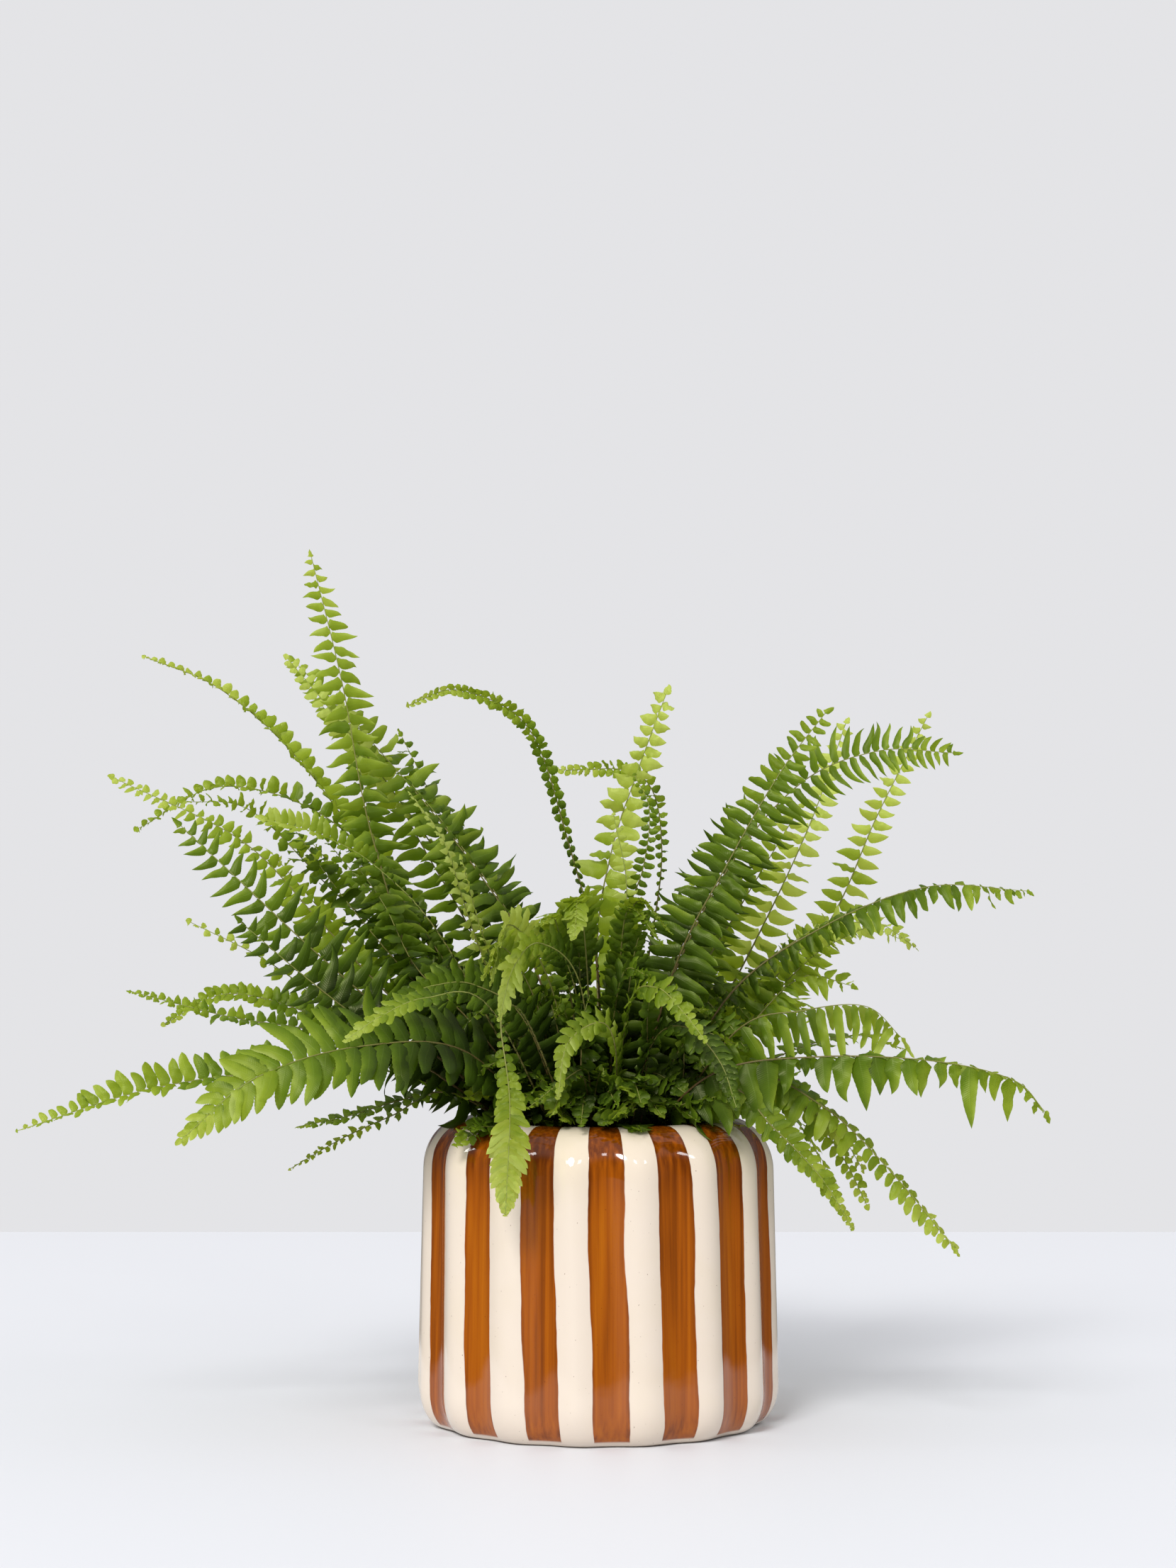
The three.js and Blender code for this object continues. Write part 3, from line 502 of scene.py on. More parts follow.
# name, longest leaflet, share of yellow, seat [x, y], way that the blade faces; rib's points
FRONDS = read_fronds([
    ["left_tall", 15, 0.5, [-18, -2], [0.45, -0.85, 0.2],
     [[-76, 192, -8], [-107, 275, -12], [-122, 350, -8], [-137, 411, 0]]],
    ["left_long", 9, 0.55, [-22, 20], [0.3, -0.3, 0.9],
     [[-85, 232, 34], [-137, 307, 46], [-178, 346, 50], [-216, 363, 46]]],
    ["left_broad", 22, 0.35, [-8, 14], [0.5, -0.8, 0.3],
     [[-30, 215, 16], [-62, 267, 22], [-104, 318, 26], [-145, 361, 28]]],
    ["left_broad_rear", 16, 0.35, [-16, 10], [0.5, -0.8, 0.3],
     [[-55, 222, 28], [-82, 270, 38], [-105, 310, 42], [-132, 340, 44]]],
    ["left_slim", 9, 0.85, [-10, -8], [0.9, -0.3, 0.3],
     [[-46, 200, -24], [-62, 240, -28], [-73, 274, -28], [-89, 297, -26]]],
    ["left_pale", 10, 0.9, [-27, -14], [0, -0.6, 0.8],
     [[-72, 225, -30], [-105, 262, -38], [-133, 278, -40], [-158, 285, -36]]],
    ["left_arch", 10, 0.6, [-28, 10], [0, -0.45, 0.9],
     [[-80, 228, 14], [-125, 283, 18], [-178, 301, 16], [-219, 281, 6]]],
    ["left_flat", 11, 0.5, [-33, 2], [0.3, -0.6, 0.7],
     [[-78, 208, -2], [-125, 250, -4], [-165, 289, -6], [-197, 294, -10]]],
    ["left_reach", 10, 0.65, [-30, -23], [0.2, -0.8, 0.5],
     [[-98, 200, -20], [-132, 236, -24], [-170, 275, -24], [-231, 305, -16]]],
    ["left_front", 20, 0.4, [-33, -8], [0.1, -0.95, 0.2],
     [[-92, 185, -38], [-137, 224, -50], [-170, 255, -54], [-199, 282, -52]]],
    ["left_thin", 8, 0.6, [-41, 1], [0.2, -0.8, 0.5],
     [[-85, 172, -8], [-126, 196, -12], [-160, 219, -14], [-194, 236, -14]]],
    ["left_bow", 8, 0.5, [-36, 16], [0, -0.7, 0.7],
     [[-85, 168, 30], [-130, 190, 38], [-175, 202, 40], [-206, 188, 34]]],
    ["left_level", 9, 0.45, [-42, 8], [0, -0.5, 0.85],
     [[-88, 164, 14], [-130, 183, 16], [-175, 191, 16], [-222, 203, 16]]],
    ["left_far", 13, 0.6, [-42, -10], [0, -0.65, 0.75],
     [[-90, 163, -26], [-150, 165, -34], [-212, 157, -38], [-276, 137, -42]]],
    ["left_big", 25, 0.5, [-28, -32], [0.1, -0.8, 0.6],
     [[-62, 174, -56], [-113, 177, -80], [-163, 162, -96], [-198, 133, -102]]],
    ["left_curl", 12, 0.4, [-16, -28], [0, -0.9, 0.45],
     [[-34, 188, -46], [-58, 206, -60], [-78, 206, -70], [-97, 199, -78]]],
    ["left_young", 9, 0.85, [-22, -38], [0, -0.6, 0.8],
     [[-52, 196, -78], [-82, 200, -98], [-104, 191, -108], [-120, 180, -114]]],
    ["left_dry", 6, 0.3, [-49, -5], [0, -0.4, 0.9],
     [[-72, 154, -6], [-95, 151, -12], [-118, 144, -16], [-142, 139, -18]]],
    ["left_droop", 5, 0.5, [-38, -24], [0, -0.4, 0.9],
     [[-70, 155, -34], [-98, 144, -40], [-122, 133, -43], [-146, 119, -44]]],
    ["left_dark", 12, 0.25, [-20, -9], [0.6, -0.7, 0.3],
     [[-58, 186, -18], [-86, 214, -22], [-101, 243, -22], [-114, 262, -22]]],
    ["mid_hook", 8, 0.3, [2, 6], [-0.2, -0.5, 0.8],
     [[0, 215, 10], [-14, 275, 14], [-33, 329, 12], [-66, 347, 6], [-90, 340, 2]]],
    ["mid_pale", 14, 0.9, [6, 26], [0, -0.95, 0.2],
     [[0, 222, 40], [7, 270, 46], [19, 307, 46], [33, 345, 42]]],
    ["mid_hook_rear", 9, 0.35, [14, 30], [0.2, -0.8, 0.3],
     [[24, 215, 56], [31, 272, 64], [21, 306, 64], [-18, 309, 58]]],
    ["mid_front", 9, 0.7, [-2, -6], [0, -0.6, 0.8],
     [[-5, 215, -20], [-9, 247, -42], [-11, 229, -66]]],
    ["mid_front_right", 9, 0.5, [8, -6], [0.1, -0.6, 0.8],
     [[12, 215, -18], [19, 246, -36], [35, 231, -54]]],
    ["mid_facing", 11, 0.75, [-8, -18], [-0.1, -0.8, 0.6],
     [[-22, 205, -34], [-42, 235, -58], [-51, 207, -78]]],
    ["mid_drop", 12, 0.85, [-2, -24], [-0.1, -0.95, 0.45],
     [[-8, 205, -48], [-27, 226, -76], [-40, 215, -92], [-47, 190, -100]]],
    ["front_hang", 11, 0.8, [-12, -42], [0, -1, 0.2],
     [[-34, 190, -72], [-46, 190, -92], [-42, 150, -102], [-44, 97, -104]]],
    ["front_crook", 8, 0.65, [6, -42], [-0.1, -0.95, 0.35],
     [[9, 168, -54], [3, 188, -64], [-14, 179, -76], [-19, 153, -84]]],
    ["front_small", 5, 0.35, [-2, -42], [0, -0.7, 0.7],
     [[-7, 163, -58], [-18, 159, -70], [-33, 148, -82]]],
    ["front_right", 9, 0.75, [9, -25], [0.2, -0.7, 0.7],
     [[15, 196, -50], [28, 205, -68], [41, 193, -82], [51, 180, -90]]],
    ["front_old", 11, 0.15, [16, -30], [0.2, -0.7, 0.6],
     [[26, 178, -50], [42, 186, -64], [58, 170, -78], [66, 148, -90]]],
    ["right_arch", 15, 0.35, [14, 2], [-0.2, -0.95, 0.3],
     [[34, 205, 2], [64, 264, 0], [98, 303, -4], [135, 318, -6], [170, 317, -4]]],
    ["right_upright", 18, 0.3, [18, -10], [-0.1, -0.98, 0.1],
     [[36, 212, -28], [61, 262, -34], [87, 307, -36], [109, 336, -32]]],
    ["right_slim", 13, 0.6, [22, 8], [-0.1, -0.95, 0.2],
     [[46, 205, 18], [68, 243, 22], [97, 291, 24]]],
    ["right_pale", 14, 0.85, [24, 16], [-0.1, -0.95, 0.2],
     [[58, 195, 34], [82, 240, 42], [103, 286, 46], [119, 331, 46]]],
    ["right_rear", 13, 0.8, [30, 22], [0, -0.98, 0.1],
     [[75, 187, 48], [112, 238, 60], [134, 287, 64], [158, 334, 62]]],
    ["right_reach", 14, 0.35, [32, -4], [0, -0.5, 0.85],
     [[62, 200, -8], [108, 234, -10], [158, 253, -10], [205, 251, -8]]],
    ["right_young", 8, 0.8, [34, 8], [0, -0.6, 0.8],
     [[70, 192, 18], [105, 229, 24], [132, 236, 24], [152, 224, 22]]],
    ["right_fringe", 19, 0.45, [36, -14], [0, -0.5, 0.85],
     [[66, 184, -28], [98, 194, -34], [128, 196, -38], [145, 181, -38]]],
    ["right_far", 18, 0.4, [24, -34], [0, -0.6, 0.8],
     [[55, 164, -54], [105, 172, -62], [160, 170, -64], [198, 161, -64], [213, 146, -62]]],
    ["right_droop", 13, 0.45, [36, -24], [0, -0.5, 0.85],
     [[68, 164, -42], [108, 148, -50], [140, 117, -54], [169, 82, -56]]],
    ["right_low", 12, 0.45, [44, -11], [0, -0.8, 0.5],
     [[72, 160, -18], [100, 146, -22], [117, 124, -24], [128, 102, -26]]],
    ["right_lowest", 9, 0.7, [33, -38], [0.1, -0.9, 0.4],
     [[60, 158, -56], [84, 138, -66], [106, 115, -70], [121, 91, -70]]],
    ["right_short", 13, 0.5, [40, 1], [0, -0.8, 0.5],
     [[74, 188, 6], [98, 210, 8], [121, 206, 8]]],
    ["rear_right", 14, 0.45, [36, 16], [-0.3, -0.3, 0.9],
     [[78, 168, 52], [120, 182, 78], [146, 176, 94]]],
    ["rear_right_reach", 15, 0.45, [30, 30], [-0.2, -0.4, 0.9],
     [[58, 184, 70], [88, 200, 120], [108, 185, 160]]],
    ["rear_right_arch", 15, 0.5, [22, 36], [-0.1, -0.5, 0.9],
     [[36, 198, 76], [52, 225, 128], [60, 205, 176]]],
    ["rear_middle", 16, 0.45, [8, 40], [0, -0.4, 0.9],
     [[10, 188, 84], [14, 205, 140], [16, 175, 190]]],
    ["rear_upright", 14, 0.55, [-2, 32], [0, -0.6, 0.8],
     [[-10, 205, 74], [-18, 240, 112], [-24, 228, 152]]],
    ["rear_left_reach", 15, 0.45, [-12, 38], [0.1, -0.4, 0.9],
     [[-30, 186, 80], [-46, 200, 130], [-56, 170, 176]]],
    ["rear_left_arch", 15, 0.5, [-22, 32], [0.2, -0.4, 0.9],
     [[-55, 190, 74], [-85, 205, 112], [-108, 190, 146]]],
    ["rear_left", 14, 0.45, [-34, 26], [0.2, -0.4, 0.9],
     [[-72, 171, 56], [-118, 172, 88], [-150, 152, 108]]],
    ["rear_right_droop", 12, 0.45, [40, 26], [-0.2, -0.4, 0.9],
     [[62, 165, 60], [92, 145, 84], [114, 112, 100]]],
    ["rear_droop", 12, 0.45, [-6, 46], [0, -0.4, 0.9],
     [[-18, 162, 76], [-26, 152, 104], [-32, 118, 126]]],
])
print(len(FRONDS), "fronds")

# %% [markdown]
# ## Habits
# No two fronds of a real fern carry their leaflets alike. Some are broad and flat, some twist, and
# some stand up from the rib or hang below it like the teeth of a comb. The way a frond carries its
# leaflets is a handful of numbers, and only those that differ from the usual are listed.

# %% Habits
# width, stretch: of leaflets, times the usual
# pitch: mm between leaflets, or 0 for what suits their length
# round: 1 blunt, 0 pointed, -1 a plain triangle
# scallop: depth of the notches; wave: of the edge; cup: how far the edges drop
# late, ramp: where leaflets reach their full length, and over what share of the rib they grow
# taper, end: how late they shorten again, and by how much; uneven: spread of their lengths
# lean, sickle: toward the frond's tip, straight and bent; sweep: more lean at the end
# curl, hang: bends back and down; tip: how much tips bend at random
# level: how far leaflets stay level on a steep rib; fold: how far both rows rise out of the blade
# turn, twist: spread of each leaflet's turn about its midrib, at its foot and toward its tip
# dark: how much darker the foot of the frond is, partly older and partly painted shade near the
# crown
# pale: how much younger its tip looks; tint: younger all over
USUAL = dict(width=0.9, stretch=1.08, pitch=0, scallop=0.02, late=0.25, ramp=0.6, taper=4, end=0.75,
             uneven=0.07, lean=0.12, sickle=0.06, sweep=0.4, curl=0.12, hang=0.2, tip=0.4,
             level=0.4, fold=0.12, turn=0.24, twist=0.25, cup=0.5, wave=0.14, dark=0.18, pale=0.3,
             tint=0, round=0)
FACING = dict(pitch=4.2, width=1.06, stretch=1.2, round=0.85, scallop=0.05, taper=3, end=0.85,
              lean=0.42, sweep=0.8, level=0, turn=0.06, twist=0.08, tip=0.15, cup=0.45, hang=0.1,
              curl=0.05, wave=0.18, dark=0.3, pale=0.2)
COMB_UP = dict(fold=0.8, hang=0.05, turn=0.2, round=0.9, width=1.3)
COMB_DOWN = dict(fold=-0.9, hang=0.3, level=0, lean=0.05, turn=0.25, twist=0.4, taper=5)
HABITS = {
    "left_tall": dict(pitch=7.8, width=0.98, turn=0.12, hang=0.45, level=0.6, taper=8, tint=-0.01,
                      pale=0.36, tip=0.6, round=-0.4),
    "left_long": dict(COMB_UP, pitch=6.2, round=0.8, stretch=1.8, turn=0.25, twist=0.4, taper=1.8,
                      end=0.86, tint=0.06, uneven=0.12, width=1.35),
    "left_broad": dict(pitch=7.8, hang=0.3, tip=1, turn=0.3, twist=0.5, stretch=1.02, lean=0.2,
                       tint=0.11),
    "left_broad_rear": dict(pitch=7.4, level=0.5, hang=0.3, twist=0.5, stretch=1.25, width=0.85,
                            tip=0.9, tint=0.08),
    "left_front": dict(pitch=8.8, sickle=0, lean=0.22, turn=0.15, level=0, stretch=1.2, width=0.95,
                       round=-0.6, hang=0.1, tint=-0.15, dark=0.25),
    "left_slim": dict(tint=0.12, stretch=1.25, dark=0, tip=0.7),
    "left_glow": dict(late=0.8, ramp=0.25, dark=1.2, tip=0.8, round=1),
    "left_dark": dict(stretch=1.3, turn=0.8, tip=1.2, level=0.8, uneven=0.2, width=1.2),
    "left_arch": dict(COMB_UP, turn=0.4, stretch=0.95, uneven=0.16, tint=-0.08),
    "left_flat": dict(round=0.4, fold=0.5, turn=0.8, tip=1, uneven=0.2, width=1.15, stretch=1.2,
                      tint=-0.05),
    "left_pale": dict(COMB_UP, pitch=4.4, turn=0.12, width=0.9, dark=2.6, pale=0.1, late=0.95,
                      ramp=0.4, stretch=1.35, end=0.5, fold=1),
    "left_reach": dict(turn=0.4, taper=1.6, tip=0.8, uneven=0.15, stretch=1.5, width=1.1),
    "left_thin": dict(pitch=9, round=0.4, fold=0.6, turn=0.6, width=1.2, taper=1.8, stretch=1.4,
                      uneven=0.2),
    "left_bow": dict(fold=0.5, round=0.7, turn=0.3, stretch=1.2, width=1.2, pitch=4.4),
    "left_level": dict(fold=0.4, turn=0.4, stretch=1.2, pitch=5.2, width=1.1),
    "left_far": dict(COMB_UP, turn=0.1, pitch=6.2, width=0.92, stretch=1.2, taper=4.5, end=0.92,
                     cup=0.4, lean=0.2, tint=-0.05),
    "left_big": dict(width=0.98, pitch=6.6, wave=0.08, turn=0.07, sickle=0.12, lean=0.22, sweep=0.9,
                     cup=0.32, tip=0.2, dark=0.6, pale=0.38, scallop=0.045, hang=0.1, end=0.85,
                     round=0.8),
    "left_dry": dict(stretch=1.4, width=1.2, pitch=4.2),
    "left_droop": dict(stretch=1.3, turn=0.4),
    "left_curl": dict(FACING, tint=-0.08, lean=0.3, pitch=4.8, stretch=1.45, dark=0.5, round=0.7),
    "left_young": dict(FACING, tip=0.5, uneven=0.2, stretch=1.3, late=0.78, ramp=0.22, tint=-0.1,
                       pale=0.35, dark=2, taper=5),
    "mid_hook": dict(COMB_UP, twist=0.5, turn=0.35, curl=0.2, pitch=4.2, taper=6, round=1,
                     pale=0.55, late=0.8, stretch=0.78, scallop=0.06),
    "mid_hook_rear": dict(twist=0.4, curl=0.2, turn=0.5, round=0.8, pitch=4.6, lean=0.3, width=1.1,
                          stretch=1.15, late=1, pale=0.5),
    "mid_thread": dict(tip=0.8, round=1),
    "mid_glow": dict(tip=0.8),
    "mid_pale": dict(pitch=7.8, turn=0.4, twist=0.6, taper=1.1, stretch=1.6, tip=0.8, tint=-0.08,
                     dark=0.1, width=1.35, uneven=0.2),
    "mid_front": dict(FACING, stretch=1.9, late=0.7, ramp=0.3, taper=4, dark=1, pale=0.3, lean=0.6),
    "mid_front_right": dict(FACING, pitch=3.8, width=1.1, round=0.4, tint=0.06, lean=0.6),
    "mid_facing": dict(FACING, stretch=1.45, late=0.66, ramp=0.3, dark=0.6, tint=0.26),
    "mid_drop": dict(FACING, stretch=1.7, taper=4, end=0.92, late=0.8, ramp=0.2, dark=2.1,
                     tint=0.12),
    "front_hang": dict(FACING, stretch=1.35, late=0.9, ramp=0.45, taper=9, pitch=4, lean=0.25,
                       end=0.95, tint=0.08, dark=1),
    "front_crook": dict(FACING, round=0.3, lean=0.6, stretch=1.3, tint=0.14),
    "front_right": dict(FACING, uneven=0.15, turn=0.2, tint=-0.04),
    "front_old": FACING,
    "right_arch": dict(width=0.66, sickle=0.16, twist=0.35, pitch=5.8, stretch=1.42, taper=6,
                       lean=0, level=0.1, tip=0.6, tint=-0.06),
    "right_upright": dict(turn=0.15, pitch=6.7, stretch=1.2, level=0.2, width=0.78, round=0.8,
                          sickle=0.03, tip=0.6, hang=0.32, cup=0.6, taper=2, dark=0.2, tint=0.03),
    "right_slim": dict(level=0.5, pitch=7, turn=0.3),
    "right_pale": dict(turn=0.4, twist=0.4, pitch=7.2, tip=0.8, taper=2, tint=0.08, stretch=1.25,
                       width=1.05, level=0.3, uneven=0.12),
    "right_rear": dict(turn=0.25, twist=0.5, pitch=7.4, level=0.5, taper=3, stretch=1.15,
                       width=1.05),
    "right_reach": dict(COMB_DOWN, late=0.8, fold=-0.25, hang=0.8, turn=0.35, tip=1, width=0.8,
                        pitch=6.4, stretch=1.35, tint=-0.02, uneven=0.15, round=0.4),
    "right_fringe": dict(COMB_DOWN, width=0.48, pitch=8.8, stretch=1.35, wave=0.25, round=1,
                         tint=0.04, uneven=0.12, hang=0.6, lean=0, turn=0.1, twist=0.15, tip=0.25,
                         cup=0.3, taper=8, end=0.55),
    "right_far": dict(COMB_DOWN, width=1.2, pitch=7.6, fold=-0.7, round=-0.2, stretch=1.6, tip=0.9,
                      tint=0.06, uneven=0.3, taper=1.6, end=0.8, cup=0.4),
    "right_droop": dict(COMB_DOWN, fold=-0.3, pitch=5.4, round=0.9, width=0.95, stretch=2.1,
                        taper=0.5, end=0.8, turn=0.15, twist=0.25, tint=0.13, uneven=0.18),
    "right_low": dict(hang=0.5, pitch=5.2, round=0.5, width=1.1, stretch=1.6, taper=0.8, end=0.85,
                      tint=0.1, uneven=0.2),
    "right_lowest": dict(FACING, stretch=1.15, tint=0.02),
    "right_short": dict(hang=0.5, turn=0.5, tip=0.9, stretch=1.2, uneven=0.2),
    "right_young": dict(turn=0.6, stretch=1.6, tip=0.8, uneven=0.2),
}


def habit_of(name):
    return {**USUAL, **HABITS.get(name, {})}


print(len(HABITS), "fronds differ from the usual")

# %% [markdown]
# ## Ribs
# A rib is a smooth line through its points. Blender's own curve objects could draw it, but we need
# the direction and the blade's facing at every leaflet, so the line is worked out here: a
# Catmull-Rom curve passes through every point and keeps an even sweep between them. The facing is
# set once, past the middle, and carried both ways along the rib without a twist, as the blade of a
# real frond grows.

# %% Lay out the ribs
SEAT_SHARE = 0.74  # the crowns stand closer together than the solids' seats
ROOT_DEPTH = 8
BARE_STALK = 26  # mm without leaflets
BARE_SHARE = 0.2  # of the rib, if that is less
SPAN_STEPS = 60
RIB_STEP = 1.0  # mm between the points of a rib
FACING_PLACE = 0.6  # share of the rib where the blade's facing is given


def unit(vectors):
    """The same directions with length 1."""
    return vectors / np.linalg.norm(vectors, axis=-1, keepdims=True)


def true_point(across, height, depth):
    """Where a point lies that the eye sees at across and height, as if it were on the axis."""
    scale = (EYE_DISTANCE + depth) / EYE_DISTANCE
    return [across * scale, depth, EYE_HEIGHT + (height - EYE_HEIGHT) * scale]


def smooth_line(knots):
    """A Catmull-Rom line through the knots, as points a step apart, and their places along it."""
    ends = np.stack([2 * knots[0] - knots[1], *knots, 2 * knots[-1] - knots[-2]])
    t = np.linspace(0, 1, SPAN_STEPS, endpoint=False)[:, None]
    spans = []
    for before, start, end, after in zip(ends, ends[1:], ends[2:], ends[3:]):
        leave, arrive = (end - before) / 2, (after - start) / 2
        cubic = 2 * start - 2 * end + leave + arrive
        square = -3 * start + 3 * end - 2 * leave - arrive
        spans.append(cubic * t**3 + square * t**2 + leave * t + start)
    line = np.concatenate([*spans, knots[-1:]])
    walked = np.concatenate([[0], np.cumsum(np.linalg.norm(np.diff(line, axis=0), axis=1))])
    even = np.linspace(0, walked[-1], int(walked[-1] / RIB_STEP) + 2)
    return np.stack([np.interp(even, walked, line[:, k]) for k in range(3)], -1), even


def carried_normals(tangents, start, normal):
    """The blade's facing, given at one point and carried both ways."""
    normals = np.zeros_like(tangents)
    for numbers in (range(start, -1, -1), range(start, len(tangents))):
        carried = np.array(normal, float)
        for i in numbers:
            carried = unit(carried - tangents[i] * (carried @ tangents[i]))
            normals[i] = carried
    return normals


class Rib:
    """The line of a frond, with its direction and facing along it."""

    def __init__(self, root, points, face):
        self.line, self.places = smooth_line(np.array([root, *points], float))
        self.length = self.places[-1]
        self.bare = min(BARE_STALK, BARE_SHARE * self.length)
        self.tangents = unit(np.gradient(self.line, axis=0))
        middle = int(len(self.line) * FACING_PLACE)
        self.normals = carried_normals(self.tangents, middle, face)

    def at(self, places):
        """Points, directions and facings at places along the rib."""
        rows = [self.line, self.tangents, self.normals]
        return [np.stack([np.interp(places, self.places, column) for column in row.T], -1)
                for row in rows]


def rib_of(frond):
    root = [frond.seat[0] * SEAT_SHARE, frond.seat[1] * SEAT_SHARE, SOIL_TOP - ROOT_DEPTH]
    return Rib(root, [true_point(*point) for point in frond.points], frond.facing)


ribs = {name: rib_of(frond) for name, frond in FRONDS.items()}
print("longest rib", round(max(rib.length for rib in ribs.values())), "mm")

# %% [markdown]
# ## Leaflets
# A leaflet of this fern is a small sickle: broad at its foot, with a little ear on the side toward
# the frond's tip, a scalloped edge and a crease along its midrib. One leaflet could be modelled by
# hand and copied, but then all would bend alike. Here every leaflet of a frond is made at once,
# from arrays that hold each one's length, width, sickle, curl and twist. Its midrib is walked step
# by step, so a curl keeps the leaflet's length, and the blade is laid out to both sides of it.

# %% Outline of a leaflet
COLUMNS = np.array([-1, -0.55, 0, 0.55, 1])  # from the edge nearest the frond's foot to the other
SCALLOP_SIZE = 0.85  # mm from a notch to a tooth
GRAIN_SIZE = 40  # mm along a leaflet for a unit of the map "grain"
TIP_WIDTH = 0.012  # of the widest
FIRST_LENGTH = 0.12  # of the lowest leaflets, of the longest


def half_width(t, side, roundness):
    """Half width along a leaflet, as a share of the widest, on one side of the midrib."""
    ahead = side > 0  # toward the frond's tip, where the leaflet has its ear
    foot = 0.22 + 0.78 * smooth_step(t, -0.03, 0.12)
    sharp = np.where(ahead, (1 - t**1.9) ** 0.95, (1 - t**2.7) ** 0.95)
    other = (1 - t**4.6) ** 0.78 if roundness > 0 else (1 - t**0.9) ** 1.05
    tip = sharp + (other - sharp) * abs(roundness)
    ear = 0.34 * np.exp(-(((t - 0.09) / 0.08) ** 2))
    cut = 0.30 * np.exp(-((t / 0.14) ** 2))
    return foot * np.maximum(tip, TIP_WIDTH) * (1 + np.where(ahead, ear, -cut))


def outline_share(place, habit):
    """Length of the leaflets along a frond, as a share of the longest."""
    grown = smooth_step(place, habit["late"] - habit["ramp"], habit["late"])
    grown = FIRST_LENGTH + (1 - FIRST_LENGTH) * grown
    return grown * (1 - habit["end"] * place ** habit["taper"])


# %% Lay out the blades of many leaflets
DOWN = np.array([0, 0, -1.0])
WAVES = 2.3  # of the edge, along a leaflet
CREASE = 0.24  # how far the blade rises from the midrib, as a share of the half width


def without(vectors, directions):
    """The vectors without what they share with the directions, with length 1."""
    return unit(vectors - directions * np.sum(vectors * directions, -1, keepdims=True))


def leaflet_patch(foot, along, toward_tip, length, width, habit, hand, rows, tone, random):
    """Bent, scalloped grids for leaflets that start at foot and grow along."""
    count = len(foot)
    t = np.linspace(0, 1, rows + 1)[:, None]
    facing = (hand[:, None] * np.cross(along, toward_tip))[:, None]
    ahead = toward_tip[:, None]
    end = smooth_step(t, 0.55, 1.0)

    def draw(spread, middle=0.0):
        """One number for each leaflet, about the middle."""
        return middle + spread * random.standard_normal((count, 1, 1))

    bend = (draw(0.08, habit["sickle"]) * ahead * t * 2
            - draw(0.18, habit["curl"]) * facing * t**2 * 3
            + draw(0.12) * np.sin(2 * np.pi * t) * ahead
            + draw(habit["tip"]) * facing * end
            + draw(habit["tip"] * 0.6) * ahead * end
            + draw(0.4, 1.0) * habit["hang"] * DOWN * smooth_step(t, -0.2, 0.8))
    heading = unit(along[:, None] + bend)
    steps = heading * (length / rows)[:, None, None]
    midrib = foot[:, None] + np.concatenate([0 * steps[:, :1], np.cumsum(steps[:, :-1], axis=1)], 1)

    across = without(ahead, heading)
    up = hand[:, None, None] * np.cross(heading, across)
    turn = draw(habit["turn"]) + draw(habit["twist"]) * t**1.5
    cos, sin = np.cos(turn), np.sin(turn)
    across, up = cos * across + sin * up, cos * up - sin * across

    side = COLUMNS[None, None, :, None]
    step = t[None, :, None]
    teeth = np.where(np.arange(rows + 1) % 2, 1, -1)[None, :, None, None]
    reach = width[:, None, None, None] * half_width(step, side, habit["round"])
    ripple = draw(0.5, 1.0)[..., None] * np.sin(2 * np.pi * (WAVES * step + draw(1)[..., None]))
    wave = habit["wave"] * ripple * side**2 * np.sign(side)
    lift = CREASE * abs(side) - habit["cup"] * side**2 + wave
    notched = reach * (1 + habit["scallop"] * teeth * abs(side) ** 3)
    points = midrib[:, :, None] + across[:, :, None] * side * notched
    points = points + up[:, :, None] * lift * reach

    corners = (rows + 1) * len(COLUMNS)
    faces = grid_faces(rows + 1, len(COLUMNS)) + corners * np.arange(count)[:, None, None]
    faces = np.where(hand[:, None, None] > 0, faces, faces[..., ::-1])
    grain = np.broadcast_arrays(0.5 + 0.5 * side, step * length[:, None, None, None] / GRAIN_SIZE)
    leaf = np.stack([tone, random.random(count)], -1)[:, None]
    return {"points": points.reshape(-1, 3), "faces": faces.reshape(-1, CORNERS),
            "maps": {"grain": np.stack(grain, -1).reshape(-1, 2),
                     "leaf": np.broadcast_to(leaf, (count, corners, 2)).reshape(-1, 2)}}


# %% [markdown]
# ## The leaf's finish
# A fern's leaflet is thin: half of its brightness is light that comes through from behind, which is
# why the tips glow yellow-green against a pale wall. So the finish mixes a glossy surface with a
# Translucent shader. Young leaflets are yellow-green and old ones are deep green. That is not three
# flat colours: the map "leaf" carries each leaflet's own share of yellow, and a ramp turns it into
# colour. Veins fork from the midrib every millimetre, and are drawn from the map "grain". The same
# map carries painted light and shade: each leaflet is lighter along its edge toward the frond's tip
# and away from its foot, and darker along the other edge.

# %% Leaf finish
LEAF_STOPS = [(0.0, (0.008, 0.017, 0.002)), (0.3, (0.035, 0.068, 0.004)),
              (0.55, (0.093, 0.158, 0.008)), (0.8, (0.25, 0.335, 0.028)), (1.0, (0.47, 0.56, 0.13))]
SKIN_TINT = (1.0, 1.0, 0.55, 1.0)  # of what the leaf's waxy skin mirrors
PALE_VEIN = (0.26, 0.36, 0.08)
VEIN_SPACING = 0.95  # mm
VEIN_SLANT = 2.2  # how far a vein reaches forward, in spacings
MIDRIB_EDGES = (0.02, 0.12)  # shares of the half width


